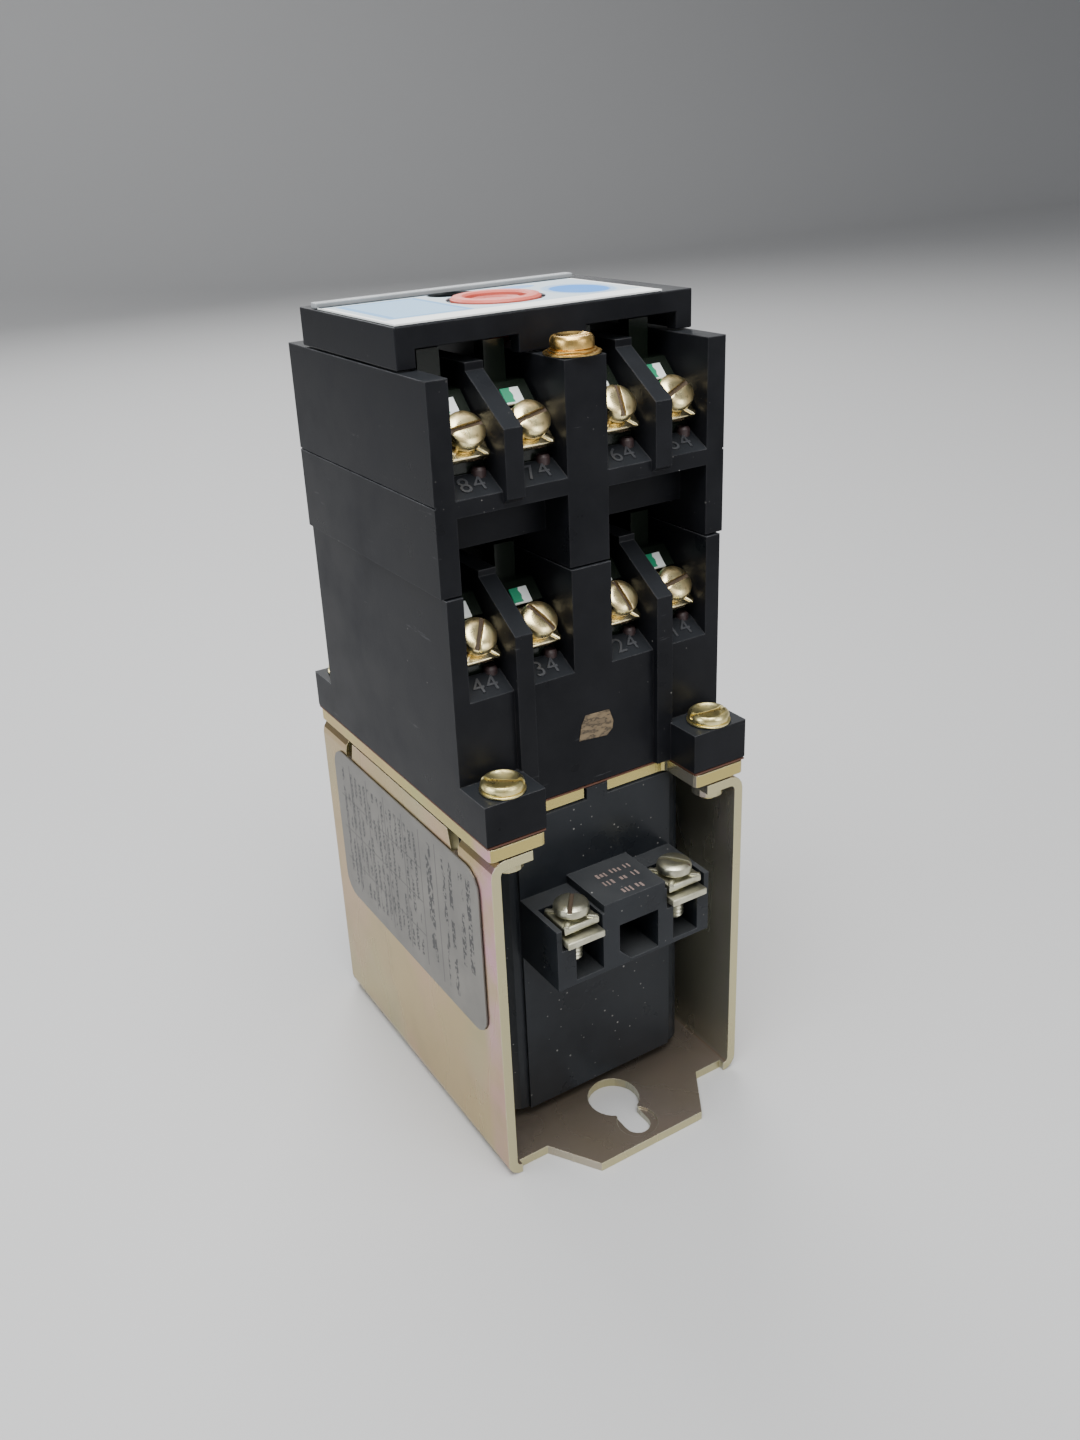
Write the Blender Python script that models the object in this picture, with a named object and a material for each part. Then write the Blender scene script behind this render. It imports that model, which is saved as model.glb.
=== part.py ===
"""Open-frame industrial control relay: a steel magnet yoke that carries a direct-current coil, with two
stacked decks of contact cartridges on top and a cap with an operator ring.

The origin is on the underside of the mounting base, at the middle of the footprint. +Z is up, -Y is the
front, where the coil terminals are, and +X is to the right. Lengths are in millimetres; MM turns them
into the metres that Blender stores.
"""

import math

import bmesh
import bpy
from mathutils import Matrix, Vector

MM = 0.001
GAP = 0.3          # between a piece and the one that it rests on or fits in
THIN_GAP = 0.1     # under a label
PAST = 1.0         # how far a cutter runs past the face that it cuts
OVERLAP = 0.6      # how deep a joined piece starts inside its neighbour
FAR = 40.0         # clear of every piece, for cutters that come in from outside
FRONT_AND_REAR = (-1, 1)
LEFT_AND_RIGHT = (-1, 1)

# Steel yoke: one folded sheet with a mounting tongue at each end
YOKE_WIDTH = 52.0
YOKE_DEPTH = 66.8
YOKE_HEIGHT = 65.5
SHEET = 1.8
BEND_OUTER = 2.8
FLANGE_REACH = 8.0
FLANGE_DEPTH = 11.0
RELIEF_WIDTH = 3.4
RELIEF_DROP = 4.1
RELIEF_SLANT = 1.2
TONGUE_REACH = 7.8
TONGUE_ROOT = 34.4
TONGUE_TIP = 22.8
BASE_SETBACK = 1.1
KEYHOLE_Y = 28.8
KEYHOLE_RADIUS = 4.9
KEY_SLOT_Y = 36.4
KEY_SLOT_RADIUS = 2.4
KEY_COIN_RADIUS = 3.8
KEY_COIN_DEPTH = 0.5

# Plates between the yoke and the decks
PLATE = 2.3
PLATE_NOTCH_WIDTH = 30.8
PLATE_NOTCH_DEPTH = 8.8
PLATE_CORNER = 0.8
SHEET_THICKNESS = 0.3
STACK_GAP = 0.2    # on each side of the insulating sheet

# Mounting screws at the four corners
SCREW_X = 20.9
SCREW_Y = 29.8
SHANK_RADIUS = 1.9
HOLE_RADIUS = 2.4
MOUNTING_HEAD = (3.6, 1.5, 3.8, 0.4)        # head radius and height, washer radius and thickness
STACK_HEAD = (3.4, 2.0, 4.5, 0.8)
WASHER_GAP = 0.15
MOUNTING_SCREW_PROUD = 1.0
DRIVER_SLOT_HALF = 0.45
DRIVER_SLOT = 1.2
LUG_RADIUS = 2.8
LUG_DROP = 1.6

# Coil, core and armature, all round one vertical axis at X = Y = 0
CASE_HALF_WIDTH = 19.7
CASE_HALF_DEPTH = 24.4
CASE_BOTTOM = 4.5
CASE_WALL = 2.2
CASE_CORNER = 3.0
PANEL_HALF_WIDTH = 16.0
PANEL_PROUD = 0.6
TAB_LEFT = -1.7
TAB_RIGHT = 2.6
TAB_ROOT = 4.0
TAB_DEPTH = 1.4
BLOCK_ROOT = 23.2
BLOCK_FRONT = 36.4
BLOCK_BOTTOM = 38.5
BLOCK_TOP = 50.4
BLOCK_STEP = 1.6
BLOCK_STEP_HALF_WIDTH = 6.4
COIL_SCREW_X = 10.9
COIL_SCREW_Y = 33.1
COIL_HEAD_TOP = 53.1
COIL_HEAD_RADIUS = 3.1
COIL_HEAD = 1.8
COIL_SHANK_END = 41.6
WIRE_POCKETS = ((-12.3, -6.7), (8.2, 13.5))
POCKET_BOTTOM = 39.4
POCKET_BACK = 27.0
CLAMP_FLOOR = 46.2
CLAMP_RECESS_HALF = 4.1
CLAMP_RECESS_BACK = 29.0
UPPER_CLAMP = (3.5, 3.3, 2.4, 1.6)          # half width, front reach, depth under the head's top, thickness
LOWER_CLAMP = (3.7, 4.7, 4.7, 1.4)
BLOCK_WINDOW = ((-3.3, 46.8), (-3.3, 41.5), (-0.9, 39.1), (4.9, 39.1), (4.9, 46.8))
WINDOW_BACK = 27.5
SPOOL_BORE = 7.7
SPOOL_TUBE = 9.2
SPOOL_FLANGE = 16.4
SPOOL_BOTTOM = 5.2
SPOOL_TOP = 61.2
SPOOL_FLANGE_THICKNESS = 1.6
WINDING_RADIUS = 15.6
CORE_RADIUS = 7.2
CORE_FOOT_RADIUS = 14.5
CORE_TOP = 34.0
TRAVEL = 4.5
AIR_GAP_LEFT = 0.3
ARMATURE_DISC_RADIUS = 11.5
ARMATURE_DISC_BOTTOM = 79.3
ARMATURE_DISC = 2.5
THROAT_RADIUS = 10.9
SPRING_RADIUS = 9.2
SPRING_WIRE = 0.6
SPRING_TURNS = 5
SPRING_STEPS = 14
ROD_RADIUS = 2.0
ROD_SINK = 2.0          # from the cap's underside down to the rod's top
STEM_RADIUS = 1.7
ROD_CHANNEL = 3.0

# Contact decks: both have four bays, with a cartridge in each
DECK_PITCH = 32.5
DECK_HALF_DEPTH = 25.5
DECK_A_HALF_WIDTH = 26.3
DECK_B_HALF_WIDTH = 27.0
DECK_B_SETBACK = 0.3
WALL_INNER = 23.4
RIB_OUTER = 15.4
RIB_INNER = 12.2
RIB_PROUD = 1.2
RIB_TIP = 99.7
RIB_SLOPE_BACK = 10.6
RIB_SLOPE_RISE = 7.0
PILLAR_HALF_WIDTH = 3.8
DECK_A_TOP = 107.8
SHELF_EDGE = 90.2
SHELF_RISE = 2.4
SHELF_DEPTH = 4.2
SHELF_LIP = 0.4
BAY_FLOOR = 90.9
FOOT_TOP = 76.0
FOOT_INNER = 15.1
FOOT_FRONT = 33.3
BASE_WALL = 2.6
CAVITY_TOP = 87.6
BEAM_BOTTOM = 120.0
GROOVE_Z = 122.1
GROOVE = 0.25
LINTEL_Y = 18.4
LINTEL_BOTTOM = 112.9
LINTEL_WALL = 2.2
STACK_SCREW_Y = 21.7
STACK_SCREW_TIP = 95.0
BAYS = (-19.4, -8.0, 8.0, 19.4)

# Cartridge outline in deck A, as the height above the bay floor and the distance from the middle
CARTRIDGE_WIDTH = 7.4
CARTRIDGE_BASE = BAY_FLOOR + GAP
CARTRIDGE_TOP = 104.0
CARTRIDGE_END = 20.4
WINDOW_HALF_DEPTH = 10.5
WINDOW_BOTTOM = 94.0
WINDOW_TOP = 102.2
SEAT_PLANE = 115.9      # Z minus Y along the sloping seat of the terminal clamp
CREST_PLANE = 118.4     # Z minus Y along the sloping face above the clamp
SEAT_STEP = 83.6        # Z plus Y where the seat steps out to the crest
SPINE_WIDTH = 3.8
SPINE_OFFSET = -0.7
SPINE_TOP = 110.4
SPINE_DEPTH = 2.8
SPINE_BACK = 1.2        # from the crest's back corner to the spine's face

# Contact bridges and the bars that carry them
BAR_HALF_WIDTH = 22.6
BAR_HALF_DEPTH = 3.0
BAR_BOTTOM = 98.9
BAR_TOP = 101.0
BRIDGE_HALF_DEPTH = 9.4
BRIDGE_WIDTH = 4.0
BRIDGE = 0.5
CONTACT_RADIUS = 1.3
CONTACT_INSET = 1.7
CONTACT_PROUD = 0.35

# Terminal screw with its saddle clamp, tilted outwards at each end of a cartridge
TERMINAL_Y = 21.9
TERMINAL_Z = 99.4
TERMINAL_TILT = math.radians(45)
TERMINAL_HEAD_RADIUS = 3.1
TERMINAL_HEAD_HALF = 1.4
CLAMP_HALF_WIDTH = 3.6
CLAMP = 1.7
CLAMP_SLOPE = 1.0
NECK_RADIUS = 1.6
NECK_REACH = 3.5

# Cap and what is on it
COVER_HALF_WIDTH = 27.0
COVER_FRONT = -16.6
COVER_BACK = 18.4
COVER_TOP = 147.0
COVER_WALL = 2.5
COVER_LINTEL = 143.6
COVER_LEG = 23.8
COVER_POST = 6.2
COVER_ROOF = 2.0
LABEL = 0.25
FACE_LABEL = (-26.6, -16.2, 21.2, 11.6)     # low x, low y, high x, high y
RING_HOLE = 8.1
LIP = (-26.7, 12.0, 23.0, 14.2)             # low x, low y, high x, high y
LIP_TOP = 148.0
RING_CENTRE = (-1.5, -2.2)
RING_OUTER = 7.4
RING_INNER = 5.1
RING_TOP = 148.0
BUTTON_RADIUS = 4.7
BUTTON_TOP = 147.3
RATING_LABEL = (-29.2, 28.4, 28.3, 61.7)
RATING_LABEL_CORNER = 4.0

HALF_WIDTH = YOKE_WIDTH / 2
HALF_DEPTH = YOKE_DEPTH / 2
WALL_FACE = HALF_WIDTH - SHEET
PLATE_BOTTOM = YOKE_HEIGHT + GAP
PLATE_TOP = PLATE_BOTTOM + PLATE
INSULATION_BOTTOM = PLATE_TOP + STACK_GAP
INSULATION_TOP = INSULATION_BOTTOM + SHEET_THICKNESS
DECK_A_BOTTOM = INSULATION_TOP + STACK_GAP
DECK_B_BOTTOM = DECK_A_TOP + GAP
DECK_B_TOP = DECK_A_TOP + DECK_PITCH + STACK_GAP
COVER_BOTTOM = DECK_B_TOP + GAP
CASE_TOP = PLATE_BOTTOM - GAP


# ---- Materials ---------------------------------------------------------------------------------------

def material(name, colour, roughness, metallic=0.0):
    """A Principled material with one colour."""
    made = bpy.data.materials.new(name)
    made.use_nodes = True
    made.diffuse_color = (*colour, 1.0)
    shader = made.node_tree.nodes["Principled BSDF"]
    shader.inputs["Base Color"].default_value = (*colour, 1.0)
    shader.inputs["Roughness"].default_value = roughness
    shader.inputs["Metallic"].default_value = metallic
    return made


# ---- Modelling helpers -------------------------------------------------------------------------------

def new_object(name, mesh, finish):
    """Put a mesh in the scene as a named object."""
    made = bpy.data.objects.new(name, mesh)
    bpy.context.scene.collection.objects.link(made)
    if finish and not mesh.materials:
        mesh.materials.append(finish)
    return made


def from_bmesh(name, shape, finish):
    """Finish a bmesh in millimetres as an object in metres, with its faces pointing out."""
    bmesh.ops.scale(shape, vec=(MM, MM, MM), verts=shape.verts)
    bmesh.ops.recalc_face_normals(shape, faces=shape.faces)
    mesh = bpy.data.meshes.new(name)
    shape.to_mesh(mesh)
    shape.free()
    return new_object(name, mesh, finish)


def prism(name, outline, axis, low, high, finish=None):
    """Extrude an outline along an axis. Its points are (y, z) for X, (x, z) for Y and (x, y) for Z."""
    place = {
        "X": lambda u, v: (low, u, v),
        "Y": lambda u, v: (u, low, v),
        "Z": lambda u, v: (u, v, low),
    }[axis]
    shape = bmesh.new()
    face = shape.faces.new([shape.verts.new(place(u, v)) for u, v in outline])
    end = bmesh.ops.extrude_face_region(shape, geom=[face])
    step = Vector([high - low if letter == axis else 0.0 for letter in "XYZ"])
    moved = [item for item in end["geom"] if isinstance(item, bmesh.types.BMVert)]
    bmesh.ops.translate(shape, vec=step, verts=moved)
    return from_bmesh(name, shape, finish)


def block(name, low, high, finish=None):
    """A box between two corners."""
    outline = [(low[0], low[1]), (high[0], low[1]), (high[0], high[1]), (low[0], high[1])]
    return prism(name, outline, "Z", low[2], high[2], finish)


def circle(centre, radius, sides=24):
    """Points round a circle."""
    turns = [2 * math.pi * step / sides for step in range(sides)]
    return [(centre[0] + radius * math.cos(turn), centre[1] + radius * math.sin(turn)) for turn in turns]


def rounded(points, radius, steps=4):
    """An outline with every corner turned into an arc of the given radius."""
    outline = []
    for index, corner in enumerate(points):
        here = Vector(corner)
        back = (Vector(points[index - 1]) - here).normalized()
        ahead = (Vector(points[(index + 1) % len(points)]) - here).normalized()
        half = back.angle(ahead) / 2
        centre = here + (back + ahead).normalized() * radius / math.sin(half)
        start = here + back * radius / math.tan(half) - centre
        finish = here + ahead * radius / math.tan(half) - centre
        for step in range(steps + 1):
            spoke = start.lerp(finish, step / steps).normalized() * radius
            outline.append(tuple(centre + spoke))
    return outline


def rectangle(low_x, low_y, high_x, high_y):
    """The four corners of a rectangle."""
    return [(low_x, low_y), (high_x, low_y), (high_x, high_y), (low_x, high_y)]


def turned(name, profile, finish=None, sides=24, ring=False):
    """Turn (radius, z) points round the Z axis: top to bottom, closed on the axis, or a ring."""
    shape = bmesh.new()
    rows = []
    for radius, z in profile:
        if radius == 0:
            rows.append([shape.verts.new((0, 0, z))])
        else:
            rows.append([shape.verts.new((x, y, z)) for x, y in circle((0, 0), radius, sides)])
    pairs = list(zip(rows, rows[1:]))
    if ring:
        pairs.append((rows[-1], rows[0]))
    for upper, lower in pairs:
        for step in range(sides):
            after = (step + 1) % sides
            corners = [upper[step % len(upper)], lower[step % len(lower)]]
            if len(lower) > 1:
                corners.append(lower[after])
            if len(upper) > 1:
                corners.append(upper[after])
            shape.faces.new(corners)
    return from_bmesh(name, shape, finish)


def use_tool(body, tool, operation):
    """Add one exact Boolean and hide its tool."""
    step = body.modifiers.new(operation.title(), "BOOLEAN")
    step.operation = operation
    step.solver = "EXACT"
    step.object = tool
    tool.hide_render = True
    tool.display_type = "WIRE"


def join(body, *tools):
    """Fuse tools to a body."""
    for tool in tools:
        use_tool(body, tool, "UNION")
    return body


def cut(body, *tools):
    """Take tools away from a body."""
    for tool in tools:
        use_tool(body, tool, "DIFFERENCE")
    return body


def settled(body):
    """The body with its modifiers applied and their tools gone, so that its mesh can be shared."""
    graph = bpy.context.evaluated_depsgraph_get()
    mesh = bpy.data.meshes.new_from_object(body.evaluated_get(graph))
    tools = [step.object for step in body.modifiers if step.type == "BOOLEAN"]
    body.modifiers.clear()
    body.data = mesh
    for tool in tools:
        bpy.data.objects.remove(tool)
    return body


def shade_round(*bodies):
    """Smooth shading on round pieces, sharp at their edges."""
    for body in bodies:
        body.data.shade_smooth()
        body.data.set_sharp_from_angle(angle=math.radians(35))


def span(side, near, far):
    """Two distances from the middle, as low and high coordinates on one side of it."""
    return sorted((side * near, side * far))


def drill(name, centre, radius, low, high, sides=16):
    """A vertical round cutter."""
    return prism(name, circle(centre, radius, sides), "Z", low, high)


# ---- Steel frame -------------------------------------------------------------------------------------

def quarter(centre, radius, start, steps=4):
    """An arc of 90 degrees, anticlockwise from a start angle in degrees."""
    turns = [math.radians(start + 90 * step / steps) for step in range(steps + 1)]
    return [(centre[0] + radius * math.cos(turn), centre[1] + radius * math.sin(turn)) for turn in turns]


def keyhole(side):
    """Cutters for one keyhole: the round entry, the slot, and the coined ring round the slot's end."""
    slot = rectangle(-KEY_SLOT_RADIUS, -KEY_SLOT_Y, KEY_SLOT_RADIUS, -KEYHOLE_Y)
    turned_slot = [(x, -side * y) for x, y in slot]
    return (
        drill("keyhole_entry", (0, side * KEYHOLE_Y), KEYHOLE_RADIUS, -PAST, SHEET + PAST, 28),
        prism("keyhole_slot", turned_slot, "Z", -1.2 * PAST, SHEET + 1.2 * PAST),
        drill("keyhole_end", (0, side * KEY_SLOT_Y), KEY_SLOT_RADIUS, -1.4 * PAST, SHEET + 1.4 * PAST, 20),
        drill("keyhole_coin", (0, side * KEY_SLOT_Y), KEY_COIN_RADIUS, SHEET - KEY_COIN_DEPTH, SHEET + PAST),
    )


def yoke_frame(steel):
    """The folded yoke: base, two walls, four corner flanges with threaded lugs, and two tongues."""
    bend = BEND_OUTER
    inner = BEND_OUTER - SHEET
    wall_top = YOKE_HEIGHT - RELIEF_DROP
    left_bend, right_bend = (-HALF_WIDTH + bend, bend), (HALF_WIDTH - bend, bend)
    outer_line = quarter(left_bend, bend, 180) + quarter(right_bend, bend, 270)
    inner_line = quarter(left_bend, inner, 180) + quarter(right_bend, inner, 270)
    channel = [(-HALF_WIDTH, wall_top)] + outer_line + [(HALF_WIDTH, wall_top), (WALL_FACE, wall_top)]
    channel += inner_line[::-1] + [(-WALL_FACE, wall_top)]
    frame = prism("yoke_frame", channel, "Y", -HALF_DEPTH, HALF_DEPTH, steel)

    web_end = HALF_DEPTH - FLANGE_DEPTH - RELIEF_WIDTH
    web_root = web_end + RELIEF_SLANT
    joint = wall_top - OVERLAP
    web = [(-web_root, joint), (-web_end, YOKE_HEIGHT), (web_end, YOKE_HEIGHT), (web_root, joint)]
    for side in LEFT_AND_RIGHT:
        join(frame, prism("wall_web", web, "X", *span(side, WALL_FACE, HALF_WIDTH)))

    flange_end = HALF_WIDTH - FLANGE_REACH
    crest = YOKE_HEIGHT - bend
    corner = [(HALF_WIDTH, joint)] + quarter((HALF_WIDTH - bend, crest), bend, 0)
    corner += [(flange_end, YOKE_HEIGHT), (flange_end, YOKE_HEIGHT - SHEET)]
    corner += quarter((HALF_WIDTH - bend, crest), inner, 0)[::-1] + [(WALL_FACE, joint)]
    for end in FRONT_AND_REAR:
        low, high = span(end, HALF_DEPTH - FLANGE_DEPTH, HALF_DEPTH)
        for side in LEFT_AND_RIGHT:
            flange = [(side * x, z) for x, z in corner]
            centre = (side * SCREW_X, end * SCREW_Y)
            join(frame, prism("corner_flange", flange, "Y", low, high))
            lug_low = YOKE_HEIGHT - SHEET - LUG_DROP
            join(frame, drill("threaded_lug", centre, LUG_RADIUS, lug_low, YOKE_HEIGHT - OVERLAP))
            cut(frame, drill("lug_hole", centre, HOLE_RADIUS, lug_low - PAST, YOKE_HEIGHT + PAST, 12))

        root = TONGUE_ROOT / 2
        base_end = HALF_DEPTH - BASE_SETBACK
        tip = HALF_DEPTH + TONGUE_REACH
        tongue = [
            (-root - PAST, end * (base_end - PAST)),
            (-root, end * base_end),
            (-TONGUE_TIP / 2, end * tip),
            (TONGUE_TIP / 2, end * tip),
            (root, end * base_end),
            (root + PAST, end * (base_end - PAST)),
        ]
        for side in LEFT_AND_RIGHT:
            low_x, high_x = span(side, root - PAST, HALF_WIDTH - bend)
            low_y, high_y = span(end, base_end, HALF_DEPTH + PAST)
            cut(frame, block("base_setback", (low_x, low_y, -PAST), (high_x, high_y, SHEET + PAST)))
        join(frame, prism("tongue", tongue, "Z", 0, SHEET))
        cut(frame, *keyhole(end))
    return frame


def top_plate(steel):
    """The thick plate over the flanges, with a notch at the front and rear between its ears."""
    notch = PLATE_NOTCH_WIDTH / 2
    depth = HALF_DEPTH - PLATE_NOTCH_DEPTH
    outline = [
        (-HALF_WIDTH, -HALF_DEPTH), (-notch, -HALF_DEPTH), (-notch, -depth), (notch, -depth),
        (notch, -HALF_DEPTH), (HALF_WIDTH, -HALF_DEPTH), (HALF_WIDTH, HALF_DEPTH), (notch, HALF_DEPTH),
        (notch, depth), (-notch, depth), (-notch, HALF_DEPTH), (-HALF_WIDTH, HALF_DEPTH),
    ]
    plate = prism("top_plate", rounded(outline, PLATE_CORNER, 2), "Z", PLATE_BOTTOM, PLATE_TOP, steel)
    cut(plate, drill("plate_throat", (0, 0), THROAT_RADIUS, PLATE_BOTTOM - PAST, PLATE_TOP + PAST, 32))
    tab_back = CASE_HALF_DEPTH - TAB_DEPTH - GAP
    low = (TAB_LEFT - GAP, -depth - PAST, PLATE_BOTTOM - PAST)
    cut(plate, block("tab_notch", low, (TAB_RIGHT + GAP, -tab_back, PLATE_TOP + PAST)))
    return drilled_at_corners(plate, PLATE_BOTTOM, PLATE_TOP)


def insulating_sheet(paper):
    """The thin brown sheet between the plate and the lower deck."""
    inner = FOOT_INNER + STACK_GAP
    edge = HALF_WIDTH + STACK_GAP
    outline = [
        (-edge, -FOOT_FRONT), (-inner, -FOOT_FRONT), (-inner, -DECK_HALF_DEPTH), (inner, -DECK_HALF_DEPTH),
        (inner, -FOOT_FRONT), (edge, -FOOT_FRONT), (edge, FOOT_FRONT), (inner, FOOT_FRONT),
        (inner, DECK_HALF_DEPTH), (-inner, DECK_HALF_DEPTH), (-inner, FOOT_FRONT), (-edge, FOOT_FRONT),
    ]
    sheet = prism("insulating_sheet", outline, "Z", INSULATION_BOTTOM, INSULATION_TOP, paper)
    low, high = INSULATION_BOTTOM - PAST, INSULATION_TOP + PAST
    cut(sheet, drill("sheet_throat", (0, 0), THROAT_RADIUS, low, high, 32))
    return drilled_at_corners(sheet, INSULATION_BOTTOM, INSULATION_TOP)


def drilled_at_corners(body, low, high):
    """Clearance holes for the four mounting screws."""
    for side in LEFT_AND_RIGHT:
        for end in FRONT_AND_REAR:
            centre = (side * SCREW_X, end * SCREW_Y)
            cut(body, drill("screw_clearance", centre, HOLE_RADIUS, low - PAST, high + PAST, 12))
    return body


# ---- Coil --------------------------------------------------------------------------------------------

def coil_case(plastic):
    """The moulded case, open underneath, with a proud front panel and the coil's terminal block."""
    outline = rounded(
        rectangle(-CASE_HALF_WIDTH, -CASE_HALF_DEPTH, CASE_HALF_WIDTH, CASE_HALF_DEPTH), CASE_CORNER)
    case = prism("coil_case", outline, "Z", CASE_BOTTOM, CASE_TOP, plastic)
    panel_y = CASE_HALF_DEPTH + PANEL_PROUD
    panel_root = CASE_HALF_DEPTH - OVERLAP
    half = PANEL_HALF_WIDTH
    join(case, block("front_panel", (-half, -panel_y, CASE_BOTTOM), (half, -panel_root, CASE_TOP)))
    join(case, block("terminal_block", (-half, -BLOCK_FRONT, BLOCK_BOTTOM), (half, -BLOCK_ROOT, BLOCK_TOP)))
    step = BLOCK_STEP_HALF_WIDTH
    low = (-step, -BLOCK_FRONT, BLOCK_TOP - BLOCK_STEP)
    join(case, block("block_step", low, (step, -BLOCK_ROOT - OVERLAP, BLOCK_TOP + BLOCK_STEP)))
    low = (TAB_LEFT, -panel_y, CASE_TOP - TAB_ROOT)
    join(case, block("locating_tab", low, (TAB_RIGHT, -CASE_HALF_DEPTH + TAB_DEPTH, PLATE_TOP - GAP)))

    inner_x = CASE_HALF_WIDTH - CASE_WALL
    inner_y = CASE_HALF_DEPTH - CASE_WALL
    low = (-inner_x, -inner_y, CASE_BOTTOM - PAST)
    cut(case, block("case_cavity", low, (inner_x, inner_y, SPOOL_TOP + GAP)))
    cut(case, drill("case_throat", (0, 0), THROAT_RADIUS, SPOOL_TOP - PAST, CASE_TOP + PAST, 32))
    for side in LEFT_AND_RIGHT:
        for end in FRONT_AND_REAR:
            low_x, high_x = span(side, HALF_WIDTH - FLANGE_REACH - GAP, HALF_WIDTH)
            low_y, high_y = span(end, HALF_DEPTH - FLANGE_DEPTH - GAP, HALF_DEPTH)
            low_z = YOKE_HEIGHT - SHEET - GAP
            cut(case, block("flange_clearance", (low_x, low_y, low_z), (high_x, high_y, CASE_TOP + PAST)))
    recess = CLAMP_RECESS_HALF
    for side in LEFT_AND_RIGHT:
        x = side * COIL_SCREW_X
        high = (x + recess, -CLAMP_RECESS_BACK, BLOCK_TOP + PAST)
        cut(case, block("clamp_recess", (x - recess, -FAR, CLAMP_FLOOR), high))
        hole = (x, -COIL_SCREW_Y), SHANK_RADIUS + 0.5, POCKET_BOTTOM + OVERLAP, CLAMP_FLOOR + PAST
        cut(case, drill("shank_hole", *hole, 12))
    for low_x, high_x in WIRE_POCKETS:
        high = (high_x, -POCKET_BACK, CLAMP_FLOOR + OVERLAP)
        cut(case, block("wire_pocket", (low_x, -FAR, POCKET_BOTTOM), high))
    cut(case, prism("middle_window", BLOCK_WINDOW, "Y", -FAR, -WINDOW_BACK))
    return case


def coil_terminal(name, side, metal):
    """A vertical terminal screw with two stacked clamp plates, standing in its recess."""
    x = side * COIL_SCREW_X
    head = COIL_HEAD_TOP
    under = head - COIL_HEAD
    radius = COIL_HEAD_RADIUS
    shank = SHANK_RADIUS - 0.2
    screw = turned(name, [
        (0, head), (radius - 0.8, head - 0.1), (radius - 0.2, head - 0.5), (radius, head - 1.1),
        (radius, under), (shank, under - 0.2), (shank, COIL_SHANK_END + 0.8), (1.1, COIL_SHANK_END),
        (0, COIL_SHANK_END),
    ], metal, 16)
    back = UPPER_CLAMP[1]
    for half, reach, depth, thickness in (UPPER_CLAMP, LOWER_CLAMP):
        low = head - depth - thickness
        join(screw, block("clamp_plate", (-half, -reach, low), (half, back, head - depth)))
    join(screw, drill("clamp_neck", (0, 0), 2.3, head - LOWER_CLAMP[2] - OVERLAP, under - 0.1, 12))
    half = DRIVER_SLOT_HALF
    cut(screw, block("driver_slot", (-FAR, -half, head - DRIVER_SLOT), (FAR, half, head + PAST)))
    settled(screw)
    screw.location = Vector((x, -COIL_SCREW_Y, 0)) * MM
    shade_round(screw)
    return screw


def coil_spool(plastic):
    """The spool that the coil is wound on."""
    flange = SPOOL_FLANGE_THICKNESS
    spool = turned("coil_spool", [
        (SPOOL_FLANGE, SPOOL_TOP), (SPOOL_FLANGE, SPOOL_TOP - flange), (SPOOL_TUBE, SPOOL_TOP - flange),
        (SPOOL_TUBE, SPOOL_BOTTOM + flange), (SPOOL_FLANGE, SPOOL_BOTTOM + flange),
        (SPOOL_FLANGE, SPOOL_BOTTOM), (SPOOL_BORE, SPOOL_BOTTOM), (SPOOL_BORE, SPOOL_TOP),
    ], plastic, 32, ring=True)
    shade_round(spool)


def coil_winding(copper):
    """The winding, as one ring of its outer shape."""
    low = SPOOL_BOTTOM + SPOOL_FLANGE_THICKNESS + GAP
    high = SPOOL_TOP - SPOOL_FLANGE_THICKNESS - GAP
    inner = SPOOL_TUBE + GAP
    outer = WINDING_RADIUS
    profile = [(outer, high), (outer, low), (inner, low), (inner, high)]
    winding = turned("coil_winding", profile, copper, 32, ring=True)
    shade_round(winding)


def fixed_core(steel):
    """The fixed pole on the yoke's base."""
    foot = SHEET + GAP
    core = turned("fixed_core", [
        (0, CORE_TOP), (CORE_RADIUS - 0.6, CORE_TOP), (CORE_RADIUS, CORE_TOP - 0.6),
        (CORE_RADIUS, SPOOL_BOTTOM - GAP), (CORE_FOOT_RADIUS, SPOOL_BOTTOM - GAP), (CORE_FOOT_RADIUS, foot),
        (0, foot),
    ], steel)
    shade_round(core)


# ---- Moving group ------------------------------------------------------------------------------------

def armature(steel):
    """The plunger, with the disc that the return spring lifts."""
    low = CORE_TOP + AIR_GAP_LEFT + TRAVEL
    disc = ARMATURE_DISC_BOTTOM
    top = disc + ARMATURE_DISC
    plunger = turned("armature", [
        (0, top), (ARMATURE_DISC_RADIUS - 0.5, top), (ARMATURE_DISC_RADIUS, top - 0.5),
        (ARMATURE_DISC_RADIUS, disc), (CORE_RADIUS, disc), (CORE_RADIUS, low + 0.6), (CORE_RADIUS - 0.6, low),
        (0, low),
    ], steel)
    shade_round(plunger)


def drive_rod(plastic):
    """The rod from the armature up through both decks to the button."""
    low = ARMATURE_DISC_BOTTOM + ARMATURE_DISC + GAP
    high = COVER_BOTTOM - ROD_SINK
    rod = turned("drive_rod", [(0, high), (ROD_RADIUS, high), (ROD_RADIUS, low), (0, low)], plastic, 12)
    shade_round(rod)


def crossbar(name, lift, plastic):
    """The bar that carries one deck's four contact bridges."""
    low = (-BAR_HALF_WIDTH, -BAR_HALF_DEPTH, BAR_BOTTOM + lift)
    bar = block(name, low, (BAR_HALF_WIDTH, BAR_HALF_DEPTH, BAR_TOP + lift), plastic)
    hole = (0, 0), ROD_RADIUS + GAP + THIN_GAP, BAR_BOTTOM + lift - PAST, BAR_TOP + lift + PAST
    cut(bar, drill("rod_hole", *hole, 12))
    return bar


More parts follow.
